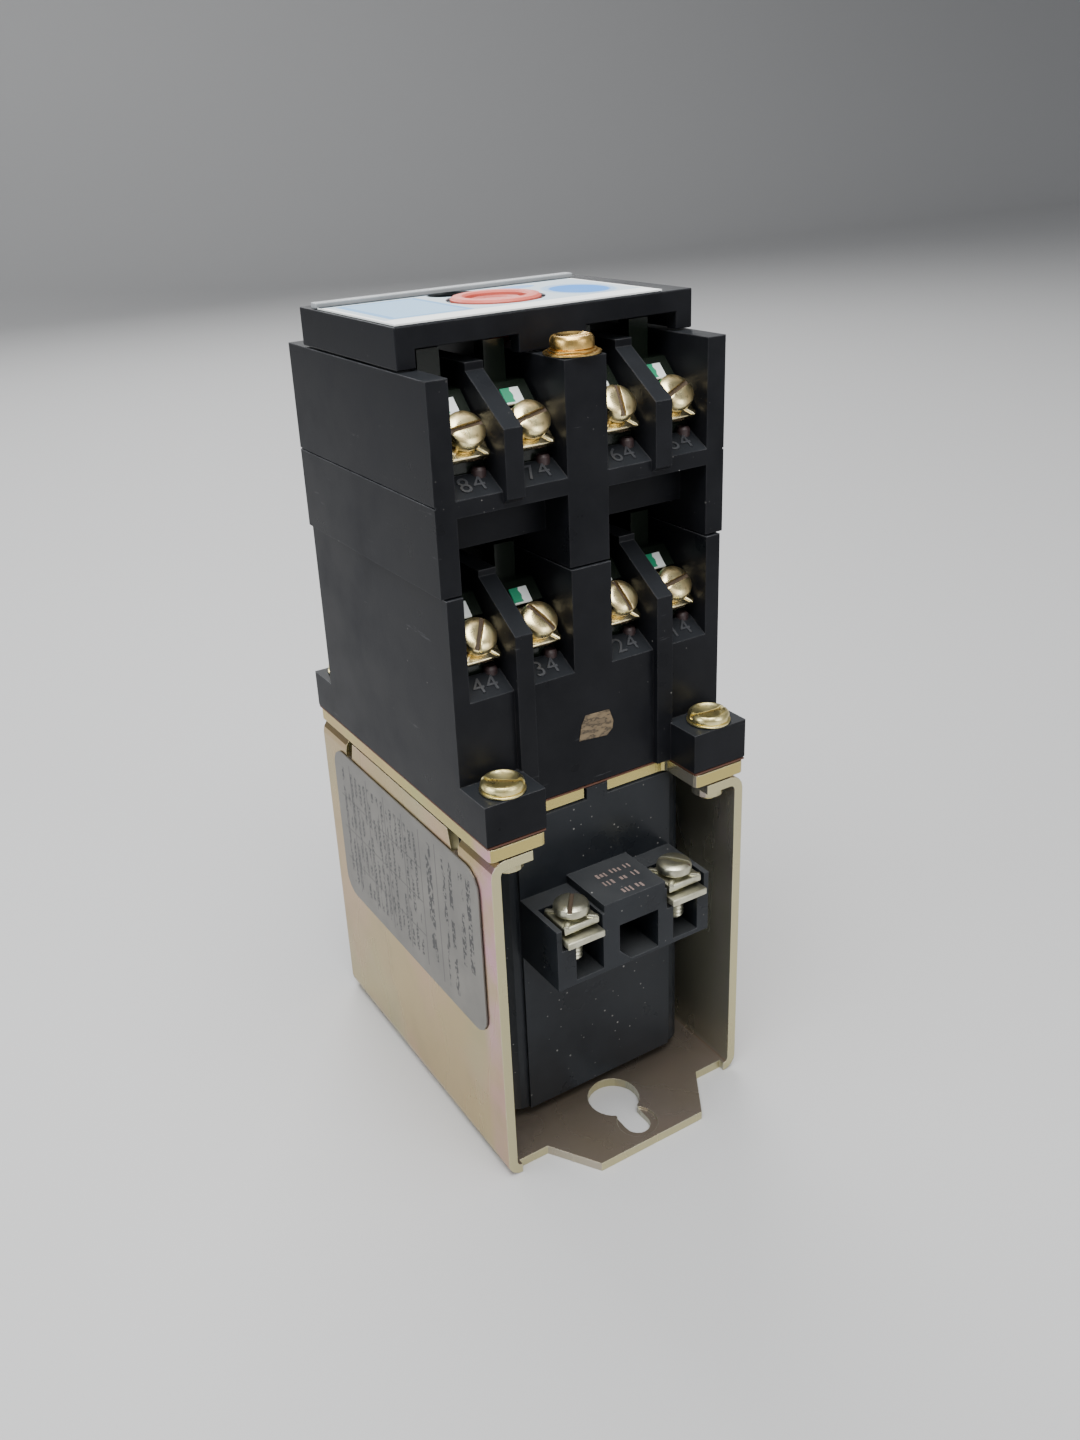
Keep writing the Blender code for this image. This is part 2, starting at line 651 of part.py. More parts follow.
def contact_bridge_mesh(metal):
    """A bridge strip with a contact button under each end, for deck A's height."""
    low = BAR_TOP + GAP
    half = BRIDGE_WIDTH / 2
    high = (half, BRIDGE_HALF_DEPTH, low + BRIDGE)
    strip = block("bridge_pattern", (-half, -BRIDGE_HALF_DEPTH, low), high, metal)
    for end in FRONT_AND_REAR:
        centre = (0, end * (BRIDGE_HALF_DEPTH - CONTACT_INSET))
        button = drill("contact_button", centre, CONTACT_RADIUS, low - CONTACT_PROUD, low + BRIDGE / 2, 10)
        join(strip, button)
    mesh = settled(strip).data
    bpy.data.objects.remove(strip)
    return mesh


def return_spring(steel):
    """The compression spring between the spool's upper flange and the armature's disc."""
    low = SPOOL_TOP + GAP + SPRING_WIRE
    high = ARMATURE_DISC_BOTTOM - GAP - SPRING_WIRE
    line = bpy.data.curves.new("return_spring", "CURVE")
    line.dimensions = "3D"
    line.bevel_depth = SPRING_WIRE * MM
    line.bevel_resolution = 1
    line.use_fill_caps = True
    count = SPRING_TURNS * SPRING_STEPS + 1
    spline = line.splines.new("POLY")
    spline.points.add(count - 1)
    for index, point in enumerate(spline.points):
        turn = 2 * math.pi * index / SPRING_STEPS
        z = low + (high - low) * index / (count - 1)
        place = Vector((SPRING_RADIUS * math.cos(turn), SPRING_RADIUS * math.sin(turn), z)) * MM
        point.co = (*place, 1.0)
    spring = bpy.data.objects.new("return_spring", line)
    spring.data.materials.append(steel)
    bpy.context.scene.collection.objects.link(spring)


def centred_on_ring(body):
    """Move a body that was turned round the Z axis to the ring's axis."""
    body.data.transform(Matrix.Translation(Vector((*RING_CENTRE, 0)) * MM))


def operator_button(plastic):
    """The button in the cap's ring, on a stem that rides on the rod, so that it dips with the armature."""
    stem_end = COVER_BOTTOM - ROD_SINK + GAP
    low = DECK_B_TOP + TRAVEL + GAP
    button = turned("operator_button", [
        (0, BUTTON_TOP - 0.4), (BUTTON_RADIUS - 1.2, BUTTON_TOP - 0.3), (BUTTON_RADIUS - 0.5, BUTTON_TOP),
        (BUTTON_RADIUS, BUTTON_TOP - 0.4), (BUTTON_RADIUS, low), (0, low),
    ], plastic)
    centred_on_ring(button)
    join(button, drill("button_stem", (0, 0), STEM_RADIUS, stem_end, low + OVERLAP, 12))
    settled(button)
    shade_round(button)


# ---- Contact decks -----------------------------------------------------------------------------------

def mirrored(points):
    """An outline's front half, followed by its mirror image at the rear."""
    return points + [(-y, z) for y, z in reversed(points)]


def shelf_points(front, lift):
    """The sloping label shelf at the front of a bay, from its edge to the bay floor."""
    back = front - SHELF_DEPTH
    return [
        (-front, SHELF_EDGE + lift), (-back, SHELF_EDGE + SHELF_RISE + lift),
        (-back + SHELF_LIP, SHELF_EDGE + SHELF_RISE + lift), (-back + SHELF_LIP, BAY_FLOOR + lift),
    ]


def crossbar_windows(body, lift):
    """Let a crossbar, and the rod on the middle axis, move through the deck's partitions."""
    half_x = WALL_INNER - THIN_GAP
    half_y = BAR_HALF_DEPTH + 2 * GAP
    low = (-half_x, -half_y, WINDOW_BOTTOM + lift)
    cut(body, block("crossbar_window", low, (half_x, half_y, BAR_TOP + 2 * GAP + lift)))


def add_ribs(deck, foot, top, lift):
    """A deck's two ribs, from the points of their foot. They stand proud, and slope back above their tips."""
    proud = foot[-1][0]
    rib = mirrored(foot + [
        (proud, RIB_TIP + lift), (proud + RIB_SLOPE_BACK, RIB_TIP + RIB_SLOPE_RISE + lift),
        (proud + RIB_SLOPE_BACK, top),
    ])
    for side in LEFT_AND_RIGHT:
        join(deck, prism("rib", rib, "X", *span(side, RIB_INNER, RIB_OUTER)))


def deck_a_housing(plastic):
    """The lower deck: a hollow base on four feet, and four open bays above it."""
    depth = DECK_HALF_DEPTH
    bottom = DECK_A_BOTTOM
    reach = WALL_INNER + OVERLAP
    floor = mirrored([(-depth, bottom)] + shelf_points(depth, 0))
    deck = prism("deck_a_housing", floor, "X", -reach, reach, plastic)
    add_ribs(deck, [(-depth - RIB_PROUD, bottom)], DECK_A_TOP, 0)
    for side in LEFT_AND_RIGHT:
        low, high = span(side, WALL_INNER, DECK_A_HALF_WIDTH)
        join(deck, block("side_wall", (low, -depth, bottom), (high, depth, DECK_A_TOP)))
        for end in FRONT_AND_REAR:
            low, high = span(side, FOOT_INNER, DECK_A_HALF_WIDTH)
            near, far = span(end, depth - OVERLAP, FOOT_FRONT)
            join(deck, block("foot", (low, near, bottom), (high, far, FOOT_TOP)))
    join(deck, block("pillar", (-PILLAR_HALF_WIDTH, -depth, bottom), (PILLAR_HALF_WIDTH, depth, DECK_A_TOP)))

    inner = depth - BASE_WALL
    reach = WALL_INNER - THIN_GAP
    cut(deck, block("base_cavity", (-reach, -inner, bottom - PAST), (reach, inner, CAVITY_TOP)))
    cut(deck, drill("rod_channel", (0, 0), ROD_CHANNEL, CAVITY_TOP - PAST, DECK_A_TOP + PAST))
    crossbar_windows(deck, 0)
    for end in FRONT_AND_REAR:
        hole = (0, end * STACK_SCREW_Y), HOLE_RADIUS, STACK_SCREW_TIP - PAST, DECK_A_TOP + PAST
        cut(deck, drill("stack_hole", *hole))
    return drilled_at_corners(deck, bottom, FOOT_TOP)


def deck_b_housing(plastic):
    """The upper deck: a beam, a lintel and four open bays, over an open window at the front and rear."""
    depth = DECK_HALF_DEPTH - DECK_B_SETBACK
    bottom = DECK_B_BOTTOM
    lift = DECK_PITCH
    reach = WALL_INNER + OVERLAP
    section = [(-LINTEL_Y, LINTEL_BOTTOM), (-LINTEL_Y, BEAM_BOTTOM), (-depth, BEAM_BOTTOM)]
    section = mirrored(section + shelf_points(depth, lift))
    deck = prism("deck_b_housing", section, "X", -reach, reach, plastic)
    proud = depth + RIB_PROUD
    root = BEAM_BOTTOM + OVERLAP
    add_ribs(deck, [(-depth + STACK_GAP, root), (-proud, root + PAST)], DECK_B_TOP, lift)
    for side in LEFT_AND_RIGHT:
        low, high = span(side, WALL_INNER, DECK_B_HALF_WIDTH)
        join(deck, block("side_wall", (low, -depth, bottom), (high, depth, DECK_B_TOP)))
    join(deck, block("pillar", (-PILLAR_HALF_WIDTH, -depth, bottom), (PILLAR_HALF_WIDTH, depth, DECK_B_TOP)))

    for side in LEFT_AND_RIGHT:
        low, high = span(side, DECK_B_HALF_WIDTH - GROOVE, DECK_B_HALF_WIDTH + PAST)
        corner = (high, depth + PAST, GROOVE_Z + GROOVE)
        cut(deck, block("side_groove", (low, -depth - PAST, GROOVE_Z), corner))

    hollow = LINTEL_Y - LINTEL_WALL
    roof = BAY_FLOOR + lift - BASE_WALL
    for side in LEFT_AND_RIGHT:
        low, high = span(side, PILLAR_HALF_WIDTH, WALL_INNER + THIN_GAP)
        cut(deck, block("lintel_hollow", (low, -hollow, LINTEL_BOTTOM - PAST), (high, hollow, roof)))
    cut(deck, drill("rod_channel", (0, 0), ROD_CHANNEL, bottom - PAST, DECK_B_TOP + PAST))
    crossbar_windows(deck, lift)
    for end in FRONT_AND_REAR:
        hole = (0, end * STACK_SCREW_Y), HOLE_RADIUS, bottom - PAST, DECK_B_TOP + PAST
        cut(deck, drill("stack_hole", *hole))
    return deck


def cartridge_mesh(plastic):
    """A contact cartridge for deck A's height: ends that slope for the terminals, and a bridge window."""
    step_low = ((SEAT_STEP - SEAT_PLANE) / 2, (SEAT_STEP + SEAT_PLANE) / 2)
    step_high = ((SEAT_STEP - CREST_PLANE) / 2, (SEAT_STEP + CREST_PLANE) / 2)
    outline = mirrored([
        (-CARTRIDGE_END, CARTRIDGE_BASE), (-CARTRIDGE_END, SEAT_PLANE - CARTRIDGE_END),
        step_low, step_high, (CARTRIDGE_TOP - CREST_PLANE, CARTRIDGE_TOP),
    ])
    half = CARTRIDGE_WIDTH / 2
    body = prism("cartridge_pattern", outline, "X", -half, half, plastic)
    window = rectangle(-WINDOW_HALF_DEPTH, WINDOW_BOTTOM, WINDOW_HALF_DEPTH, WINDOW_TOP)
    cut(body, prism("bridge_window", window, "X", -half - 1, half + 1))
    reach = TERMINAL_HEAD_HALF + CLAMP + NECK_REACH + 2 * GAP
    for end in FRONT_AND_REAR:
        hole = drill("neck_hole", (0, 0), NECK_RADIUS + GAP, -reach, CLAMP, 12)
        tilt = Matrix.Rotation(-end * TERMINAL_TILT, 4, "X")
        hole.matrix_world = Matrix.Translation(Vector((0, end * TERMINAL_Y, TERMINAL_Z)) * MM) @ tilt
        cut(body, hole)
    low_x = SPINE_OFFSET - SPINE_WIDTH / 2
    high_x = SPINE_OFFSET + SPINE_WIDTH / 2
    face = CREST_PLANE - CARTRIDGE_TOP - SPINE_BACK
    for end in FRONT_AND_REAR:
        low_y, high_y = span(end, face - SPINE_DEPTH, face)
        join(body, block("spine", (low_x, low_y, CARTRIDGE_TOP - OVERLAP), (high_x, high_y, SPINE_TOP)))
    mesh = settled(body).data
    bpy.data.objects.remove(body)
    return mesh


def terminal_mesh(metal):
    """A slotted terminal screw with its saddle clamp. The head's middle is the origin, and it points up."""
    half = TERMINAL_HEAD_HALF
    radius = TERMINAL_HEAD_RADIUS
    low = -half - CLAMP
    collar = NECK_RADIUS + 0.6
    head = turned("terminal_pattern", [
        (0, half), (radius - 0.9, half - 0.1), (radius - 0.2, half - 0.7), (radius, half - 1.3),
        (radius, -half + 0.1), (collar, -half), (collar, low), (NECK_RADIUS, low - 0.1),
        (NECK_RADIUS, low - NECK_REACH), (0, low - NECK_REACH),
    ], metal, 12)
    wide = CLAMP_HALF_WIDTH
    crown = wide - CLAMP_SLOPE
    saddle = [
        (-wide, low), (wide, low), (wide, low + CLAMP / 2), (crown, -half - THIN_GAP),
        (-crown, -half - THIN_GAP), (-wide, low + CLAMP / 2),
    ]
    join(head, prism("saddle", saddle, "X", -wide, wide))
    half_slot = DRIVER_SLOT_HALF
    cut(head, block("driver_slot", (-half_slot, -FAR, half - DRIVER_SLOT), (half_slot, FAR, half + PAST)))
    mesh = settled(head).data
    bpy.data.objects.remove(head)
    mesh.shade_smooth()
    mesh.set_sharp_from_angle(angle=math.radians(35))
    return mesh


def stretch_of(name, mesh, place, turn=None):
    """Another piece with a shared mesh, placed in millimetres."""
    made = new_object(name, mesh, None)
    made.location = Vector(place) * MM
    if turn:
        made.rotation_euler = turn
    return made


def fill_decks(cartridge, terminal, bridge):
    """Put a cartridge, its bridge and its two terminals in every bay of both decks."""
    for deck, lift in (("a", 0.0), ("b", DECK_PITCH)):
        for number, x in zip((4, 3, 2, 1), BAYS):
            stretch_of(f"cartridge_{deck}{number}", cartridge, (x, 0, lift))
            stretch_of(f"contact_bridge_{deck}{number}", bridge, (x, 0, lift))
            for end, word in zip(FRONT_AND_REAR, ("front", "rear")):
                place = (x, end * TERMINAL_Y, TERMINAL_Z + lift)
                turn = (-end * TERMINAL_TILT, 0, 0)
                stretch_of(f"terminal_{deck}{number}_{word}", terminal, place, turn)


# ---- Fasteners, cap and labels -----------------------------------------------------------------------

def pan_screw_mesh(name, sizes, length, metal):
    """A slotted pan-head screw with a washer. The origin is under the washer, and the shank points down."""
    radius, height, washer_radius, low = sizes
    high = low + height
    screw = turned(name, [
        (0, high), (radius - 0.8, high - 0.1), (radius - 0.2, high - 0.5), (radius, high - 1.1),
        (radius, low + 0.1), (washer_radius, low), (washer_radius, 0), (SHANK_RADIUS, -0.1),
        (SHANK_RADIUS, -length + 0.8), (SHANK_RADIUS - 0.7, -length), (0, -length),
    ], metal, 16)
    half = DRIVER_SLOT_HALF
    cut(screw, block("driver_slot", (-half, -FAR, high - DRIVER_SLOT), (half, FAR, high + PAST)))
    mesh = settled(screw).data
    bpy.data.objects.remove(screw)
    mesh.shade_smooth()
    mesh.set_sharp_from_angle(angle=math.radians(35))
    return mesh


def fasteners(zinc):
    """Four mounting screws in the feet, and one long screw down each end pillar."""
    foot_seat = FOOT_TOP + WASHER_GAP
    lug_bottom = YOKE_HEIGHT - SHEET - LUG_DROP
    reach = foot_seat - lug_bottom + MOUNTING_SCREW_PROUD
    short = pan_screw_mesh("mounting_screw_pattern", MOUNTING_HEAD, reach, zinc)
    for end, end_word in zip(FRONT_AND_REAR, ("front", "rear")):
        for side, side_word in zip(LEFT_AND_RIGHT, ("left", "right")):
            place = (side * SCREW_X, end * SCREW_Y, foot_seat)
            stretch_of(f"mounting_screw_{end_word}_{side_word}", short, place, (0, 0, 0.6 * end + 0.3 * side))
    seat = DECK_B_TOP + WASHER_GAP
    long = pan_screw_mesh("stack_screw_pattern", STACK_HEAD, seat - STACK_SCREW_TIP, zinc)
    for end, end_word in zip(FRONT_AND_REAR, ("front", "rear")):
        stretch_of(f"stack_screw_{end_word}", long, (0, end * STACK_SCREW_Y, seat), (0, 0, 1.2 * end))


def top_cover(plastic):
    """The cap: a shallow box, open underneath, with its front and rear walls cut away over the bays."""
    half = COVER_HALF_WIDTH
    cover = block("top_cover", (-half, COVER_FRONT, COVER_BOTTOM), (half, COVER_BACK, COVER_TOP), plastic)
    inner = half - COVER_WALL
    low = (-inner, COVER_FRONT + COVER_WALL, COVER_BOTTOM - PAST)
    cut(cover, block("cap_cavity", low, (inner, COVER_BACK - COVER_WALL, COVER_TOP - COVER_ROOF)))
    wall = COVER_WALL + PAST
    for side in LEFT_AND_RIGHT:
        low_x, high_x = span(side, COVER_POST, COVER_LEG)
        front, back = (COVER_FRONT - PAST, COVER_FRONT + wall), (COVER_BACK - wall, COVER_BACK + PAST)
        for low_y, high_y in (front, back):
            low = (low_x, low_y, COVER_BOTTOM - 2 * PAST)
            cut(cover, block("bay_opening", low, (high_x, high_y, COVER_LINTEL)))
    notch_top = COVER_TOP - COVER_ROOF - THIN_GAP
    notch = (0, STACK_SCREW_Y), STACK_HEAD[2] + 2 * GAP, COVER_BOTTOM - PAST, notch_top
    cut(cover, drill("screw_notch", *notch))
    hole = RING_CENTRE, RING_INNER - THIN_GAP, COVER_TOP - COVER_ROOF - PAST, COVER_TOP + PAST
    cut(cover, drill("button_hole", *hole, 24))
    return cover


def face_label(vinyl):
    """The label on the cap, with a hole for the operator ring."""
    low = COVER_TOP + THIN_GAP
    label = prism("face_label", rectangle(*FACE_LABEL), "Z", low, low + LABEL, vinyl)
    return cut(label, drill("ring_hole", RING_CENTRE, RING_HOLE, low - PAST, low + PAST, 32))


def label_lip(plastic):
    """The raised strip behind the label."""
    return prism("label_lip", rectangle(*LIP), "Z", COVER_TOP + THIN_GAP, LIP_TOP, plastic)


def operator_ring(plastic):
    """The raised ring round the button."""
    low = COVER_TOP + THIN_GAP
    top = RING_TOP
    ring = turned("operator_ring", [
        (RING_OUTER - 1.2, top), (RING_OUTER - 0.4, top - 0.15), (RING_OUTER, top - 0.5), (RING_OUTER, low),
        (RING_INNER, low), (RING_INNER, top - 0.4), (RING_INNER + 0.4, top - 0.1),
    ], plastic, 32, ring=True)
    centred_on_ring(ring)
    shade_round(ring)


def rating_label(foil):
    """The rating label on the left wall."""
    outline = rounded(rectangle(*RATING_LABEL), RATING_LABEL_CORNER)
    high = -HALF_WIDTH - THIN_GAP
    return prism("rating_label", outline, "X", high - LABEL, high, foil)


def main():
    for existing in list(bpy.data.objects):
        bpy.data.objects.remove(existing)

    zinc_sheet = material("yellow_zinc_sheet", (0.62, 0.54, 0.36), 0.38, 1.0)
    zinc = material("yellow_zinc", (0.80, 0.66, 0.36), 0.30, 1.0)
    steel = material("bright_steel", (0.60, 0.60, 0.60), 0.30, 1.0)
    brass = material("brass", (0.80, 0.64, 0.36), 0.32, 1.0)
    silver = material("nickel", (0.72, 0.70, 0.62), 0.30, 1.0)
    copper = material("copper", (0.62, 0.28, 0.14), 0.45, 1.0)
    black = material("black_phenolic", (0.022, 0.023, 0.025), 0.42)
    coil_black = material("black_nylon", (0.028, 0.029, 0.032), 0.38)
    natural = material("natural_nylon", (0.62, 0.60, 0.52), 0.50)
    smoke = material("smoke_green", (0.06, 0.08, 0.06), 0.25)
    brown = material("fish_paper", (0.30, 0.13, 0.06), 0.70)
    white = material("white_vinyl", (0.72, 0.76, 0.80), 0.35)
    grey = material("grey_plastic", (0.45, 0.47, 0.48), 0.40)
    foil = material("silver_foil", (0.42, 0.43, 0.42), 0.45, 0.6)
    red = material("red_nylon", (0.72, 0.16, 0.10), 0.42)

    yoke_frame(zinc_sheet)
    top_plate(zinc_sheet)
    insulating_sheet(brown)

    coil_case(coil_black)
    coil_terminal("coil_terminal_left", -1, silver)
    coil_terminal("coil_terminal_right", 1, silver)
    coil_spool(natural)
    coil_winding(copper)
    fixed_core(steel)

    armature(steel)
    drive_rod(natural)
    crossbar("crossbar_a", 0.0, natural)
    crossbar("crossbar_b", DECK_PITCH, natural)
    return_spring(steel)
    operator_button(red)

    deck_a_housing(black)
    deck_b_housing(black)
    fill_decks(cartridge_mesh(smoke), terminal_mesh(brass), contact_bridge_mesh(brass))
    fasteners(zinc)

    top_cover(black)
    face_label(white)
    label_lip(grey)
    operator_ring(red)
    rating_label(foil)


main()
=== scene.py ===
import math
import random

import bmesh
import bpy
from mathutils import Matrix, Vector


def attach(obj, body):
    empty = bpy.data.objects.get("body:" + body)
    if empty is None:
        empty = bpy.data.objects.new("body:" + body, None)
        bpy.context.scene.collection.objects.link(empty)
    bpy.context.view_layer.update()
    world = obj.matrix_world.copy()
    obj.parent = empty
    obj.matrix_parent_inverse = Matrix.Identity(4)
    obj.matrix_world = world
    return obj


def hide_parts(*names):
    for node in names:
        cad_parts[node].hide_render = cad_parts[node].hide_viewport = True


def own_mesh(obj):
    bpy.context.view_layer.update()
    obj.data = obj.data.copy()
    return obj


# Looks for an open-frame industrial control relay. Lengths are in millimetres, and MM turns them into metres,
# but the stage and its lights are in metres. The front, with the coil terminals, faces -Y, and the left wall
# with the rating label faces -X.

MM = 0.001
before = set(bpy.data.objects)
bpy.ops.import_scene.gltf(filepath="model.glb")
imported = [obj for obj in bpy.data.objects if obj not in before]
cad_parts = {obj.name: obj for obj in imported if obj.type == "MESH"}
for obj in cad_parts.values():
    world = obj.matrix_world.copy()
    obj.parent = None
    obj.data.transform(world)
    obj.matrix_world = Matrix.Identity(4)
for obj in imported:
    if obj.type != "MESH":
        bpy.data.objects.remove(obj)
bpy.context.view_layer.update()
random.seed(7)

# Where things stand. Heights in the bays are deck A's, and deck B's are a lift above them.
FRONT_AND_REAR = ((-1, "front"), (1, "rear"))
LEFT_AND_RIGHT = ((-1, "left"), (1, "right"))
DECK_LIFT = {"a": 0.0, "b": 32.5}
BAY_X = {"4": -19.4, "3": -8.0, "2": 8.0, "1": 19.4}
BAY_SLOPE = math.pi / 4
TERMINAL_Y = 21.9
TERMINAL_Z = 99.4
FLAG_SHIFT = {"a": -0.1, "b": 0.1}
FLAG_Y = 16.5
FLAG_Z = 101.95
SHELF_Y = {"a": 23.4, "b": 23.1}
SHELF_SLOPE = math.atan2(2.4, 4.2)
NUMERAL_Z = 91.45
NUMERAL_SIZE = 4.3
NUMERAL_PROUD = 0.14
POST_SHIFT = 2.4
POST_Y = 21.0
POST_Z = 91.3
COIL_TERMINAL_X = 10.9
COIL_TERMINAL_Y = -33.1
MOUNTING_SCREW_AT = (20.9, 29.8, 76.15)
STACK_SCREW_Y = 21.7
STACK_SCREW_Z = 140.65
BLOCK_TOP = 52.0
PANEL_FACE = -25.5
SEAM_X = (23.9, 25.8)
SEAM_HALF_DEPTH = 24.6
SEAM_Z = (107.7, 108.2)

# Screws: the head's radius and height, then the washer's radius and thickness
MOUNTING_HEAD = (3.6, 1.5, 3.8, 0.4)
STACK_HEAD = (3.4, 2.0, 4.5, 0.8)
MOUNTING_SHANK = 15.0
STACK_SHANK = 45.5
PAN_RADIUS = 3.1

SHARP = math.radians(35)
WELD_DISTANCE = 0.005


# ---- Node materials ----------------------------------------------------------------------------------

PLASTIC_DUST = (0.34, 0.33, 0.31)
ZINC_DUST = (0.75, 0.73, 0.68)
# The painted highlight on the plate's sharp edges.
EDGE_HIGHLIGHT_ZINC = (0.80, 0.81, 0.66)
# The greyer colour that paints light into the shade of the inner walls.
INNER_WALL_LIGHT_ZINC = (0.37, 0.385, 0.32)
PINK_ZINC = (0.60, 0.30, 0.42)


class Shader:
    """A Principled material, with short ways to add the nodes that feed it."""

    def __init__(self, name, colour, roughness, metallic=0.0):
        self.material = bpy.data.materials.new(name)
        self.material.use_nodes = True
        self.material.diffuse_color = (*colour, 1.0)
        self.tree = self.material.node_tree
        self.principled = self.tree.nodes["Principled BSDF"]
        self.set("Base Color", (*colour, 1.0))
        self.set("Roughness", roughness)
        self.set("Metallic", metallic)

    def set(self, name, value):
        """Give a Principled input a plain value, or the output of a node."""
        socket = self.principled.inputs[name]
        if isinstance(value, bpy.types.NodeSocket):
            self.tree.links.new(value, socket)
        else:
            socket.default_value = value

    def node(self, kind, output=0, **inputs):
        """Add a node. Inputs are values or sockets, and the chosen output is returned."""
        made = self.tree.nodes.new(kind)
        for name, value in inputs.items():
            if hasattr(made, name):
                setattr(made, name, value)
                continue
            key = int(name[1:]) if name[0] == "i" and name[1:].isdigit() else name.replace("_", " ")
            socket = made.inputs[key]
            if isinstance(value, bpy.types.NodeSocket):
                self.tree.links.new(value, socket)
            else:
                socket.default_value = value
        return made.outputs[output]

    def axes(self, vector):
        """The X, Y and Z of a vector."""
        split = self.tree.nodes.new("ShaderNodeSeparateXYZ")
        self.tree.links.new(vector, split.inputs[0])
        return split.outputs["X"], split.outputs["Y"], split.outputs["Z"]

    def position(self):
        """The object's own X, Y and Z, in metres."""
        return self.axes(self.node("ShaderNodeTexCoord", "Object"))

    def facing(self):
        """The X, Y and Z of the surface's normal."""
        return self.axes(self.node("ShaderNodeNewGeometry", "Normal"))

    def place(self, scale=(1, 1, 1)):
        """The object's own coordinates, in metres, stretched."""
        at = self.node("ShaderNodeTexCoord", "Object")
        return self.node("ShaderNodeMapping", Vector=at, Scale=scale)

    def noise(self, scale, detail=3.0, rough=0.55, stretch=(1, 1, 1)):
        """Noise of one scale, from 0 to 1."""
        at = self.place(stretch)
        return self.node("ShaderNodeTexNoise", "Fac", Vector=at, Scale=scale, Detail=detail, Roughness=rough)

    def ramp(self, value, low, high, start=0.0, end=1.0):
        """Map a range of a value onto another."""
        return self.node("ShaderNodeMapRange", i0=value, i1=low, i2=high, i3=start, i4=end)

    def blend(self, amount, first, second):
        """Mix two colours."""
        made = self.tree.nodes.new("ShaderNodeMix")
        made.data_type = "RGBA"
        for index, value in ((0, amount), (6, first), (7, second)):
            if isinstance(value, bpy.types.NodeSocket):
                self.tree.links.new(value, made.inputs[index])
            else:
                made.inputs[index].default_value = value if index == 0 else (*value, 1.0)
        return made.outputs[2]

    def sums(self, operation, first, second=0.0):
        """One Math node."""
        return self.node("ShaderNodeMath", operation=operation, i0=first, i1=second)

    def times(self, first, *others):
        """Multiply values together."""
        for other in others:
            first = self.sums("MULTIPLY", first, other)
        return first

    def inside(self, value, low, high):
        """1 where a value is inside a range, else 0."""
        return self.times(self.sums("GREATER_THAN", value, low), self.sums("LESS_THAN", value, high))

    def field(self, across, along, low_across, low_along, high_across, high_along):
        """1 inside a rectangle given in millimetres, else 0."""
        return self.times(self.inside(across, low_across * MM, high_across * MM),
                          self.inside(along, low_along * MM, high_along * MM))

    def bumps(self, height, strength, distance):
        """Bump the surface by a height map."""
        self.set("Normal", self.node("ShaderNodeBump", Height=height, Strength=strength, Distance=distance))

    def specks(self, scale, low, high):
        """Scattered dust specks, thicker where a broad noise is between two levels and above."""
        cell = self.node("ShaderNodeTexVoronoi", "Distance", Vector=self.place(), Scale=scale)
        pick = self.node("ShaderNodeTexVoronoi", "Color", Vector=self.place(), Scale=scale)
        size = self.ramp(pick, 0.50, 0.95, 0.0, 0.16)
        dot = self.ramp(self.sums("SUBTRACT", size, cell), 0.0, 0.05)
        return self.times(dot, self.ramp(self.noise(60.0), low, high))

    def edges(self, radius, upright=1.0):
        """Near 1 at sharp edges, where a highlight is painted, 0 on the faces. Edges that don't look up are
        scaled by upright, so the painted highlight is strongest on edges that face up.
        """
        soft = self.node("ShaderNodeBevel", samples=4, Radius=radius)
        hard = self.node("ShaderNodeNewGeometry", "Normal")
        along = self.node("ShaderNodeVectorMath", "Value", operation="DOT_PRODUCT", i0=soft, i1=hard)
        found = self.ramp(along, 0.98, 0.80)
        upward = self.axes(soft)[2]
        return self.times(found, self.ramp(upward, 0.10, 0.45, upright, 1.0))


def shade(colour, amount, lift=0.0):
    """A darker or lighter version of a colour."""
    return tuple(part * amount + lift for part in colour)


def moulded(name, colour, wear_and_highlight, dust_and_top_light, roughness, sheen, dusty=0.52):
    """Dark moulded plastic: mottled sheen, faint scratches, a painted highlight along the sharp edges, dust
    specks, and a grey film on faces that look up, which is settled dust and painted light."""
    shader = Shader(name, colour, roughness)
    cloud = shader.noise(90.0, 4.0)
    streak = shader.noise(60.0, 6.0, 0.7, (1.0, 1.0, 9.0))
    scratch = shader.ramp(streak, 0.66, 0.74)
    dust = shader.specks(720.0, dusty, dusty + 0.14)
    # Painted highlight along the sharp edges, strongest on edges that face up; its light colour also draws
    # the scratches.
    highlight_along = shader.ramp(shader.noise(300.0), 0.35, 0.7, 0.25, 0.9)
    edge = shader.times(shader.edges(0.35 * MM, 0.12), highlight_along)
    # Dust and painted light: faces that look up are blended toward a lighter grey film.
    upward = shader.ramp(shader.facing()[2], 0.40, 0.90)
    dust_and_light_film = shader.times(upward, shader.ramp(shader.noise(150.0, 4.0), 0.25, 0.65, 0.55, 1.0))
    body = shader.blend(shader.ramp(cloud, 0.3, 0.7), colour, shade(colour, 1.5, 0.003))
    body = shader.blend(edge, body, wear_and_highlight)
    body = shader.blend(shader.times(scratch, 0.25), body, wear_and_highlight)
    body = shader.blend(dust_and_light_film, body, dust_and_top_light)
    body = shader.blend(shader.times(dust, 0.70), body, PLASTIC_DUST)
    shader.set("Base Color", body)
    shader.set("Specular IOR Level", sheen)
    shader.set("Roughness", shader.ramp(cloud, 0.3, 0.75, roughness - 0.08, roughness + 0.12))
    shader.bumps(shader.noise(2600.0, 2.0), 0.04, 0.2 * MM)
    return shader.material


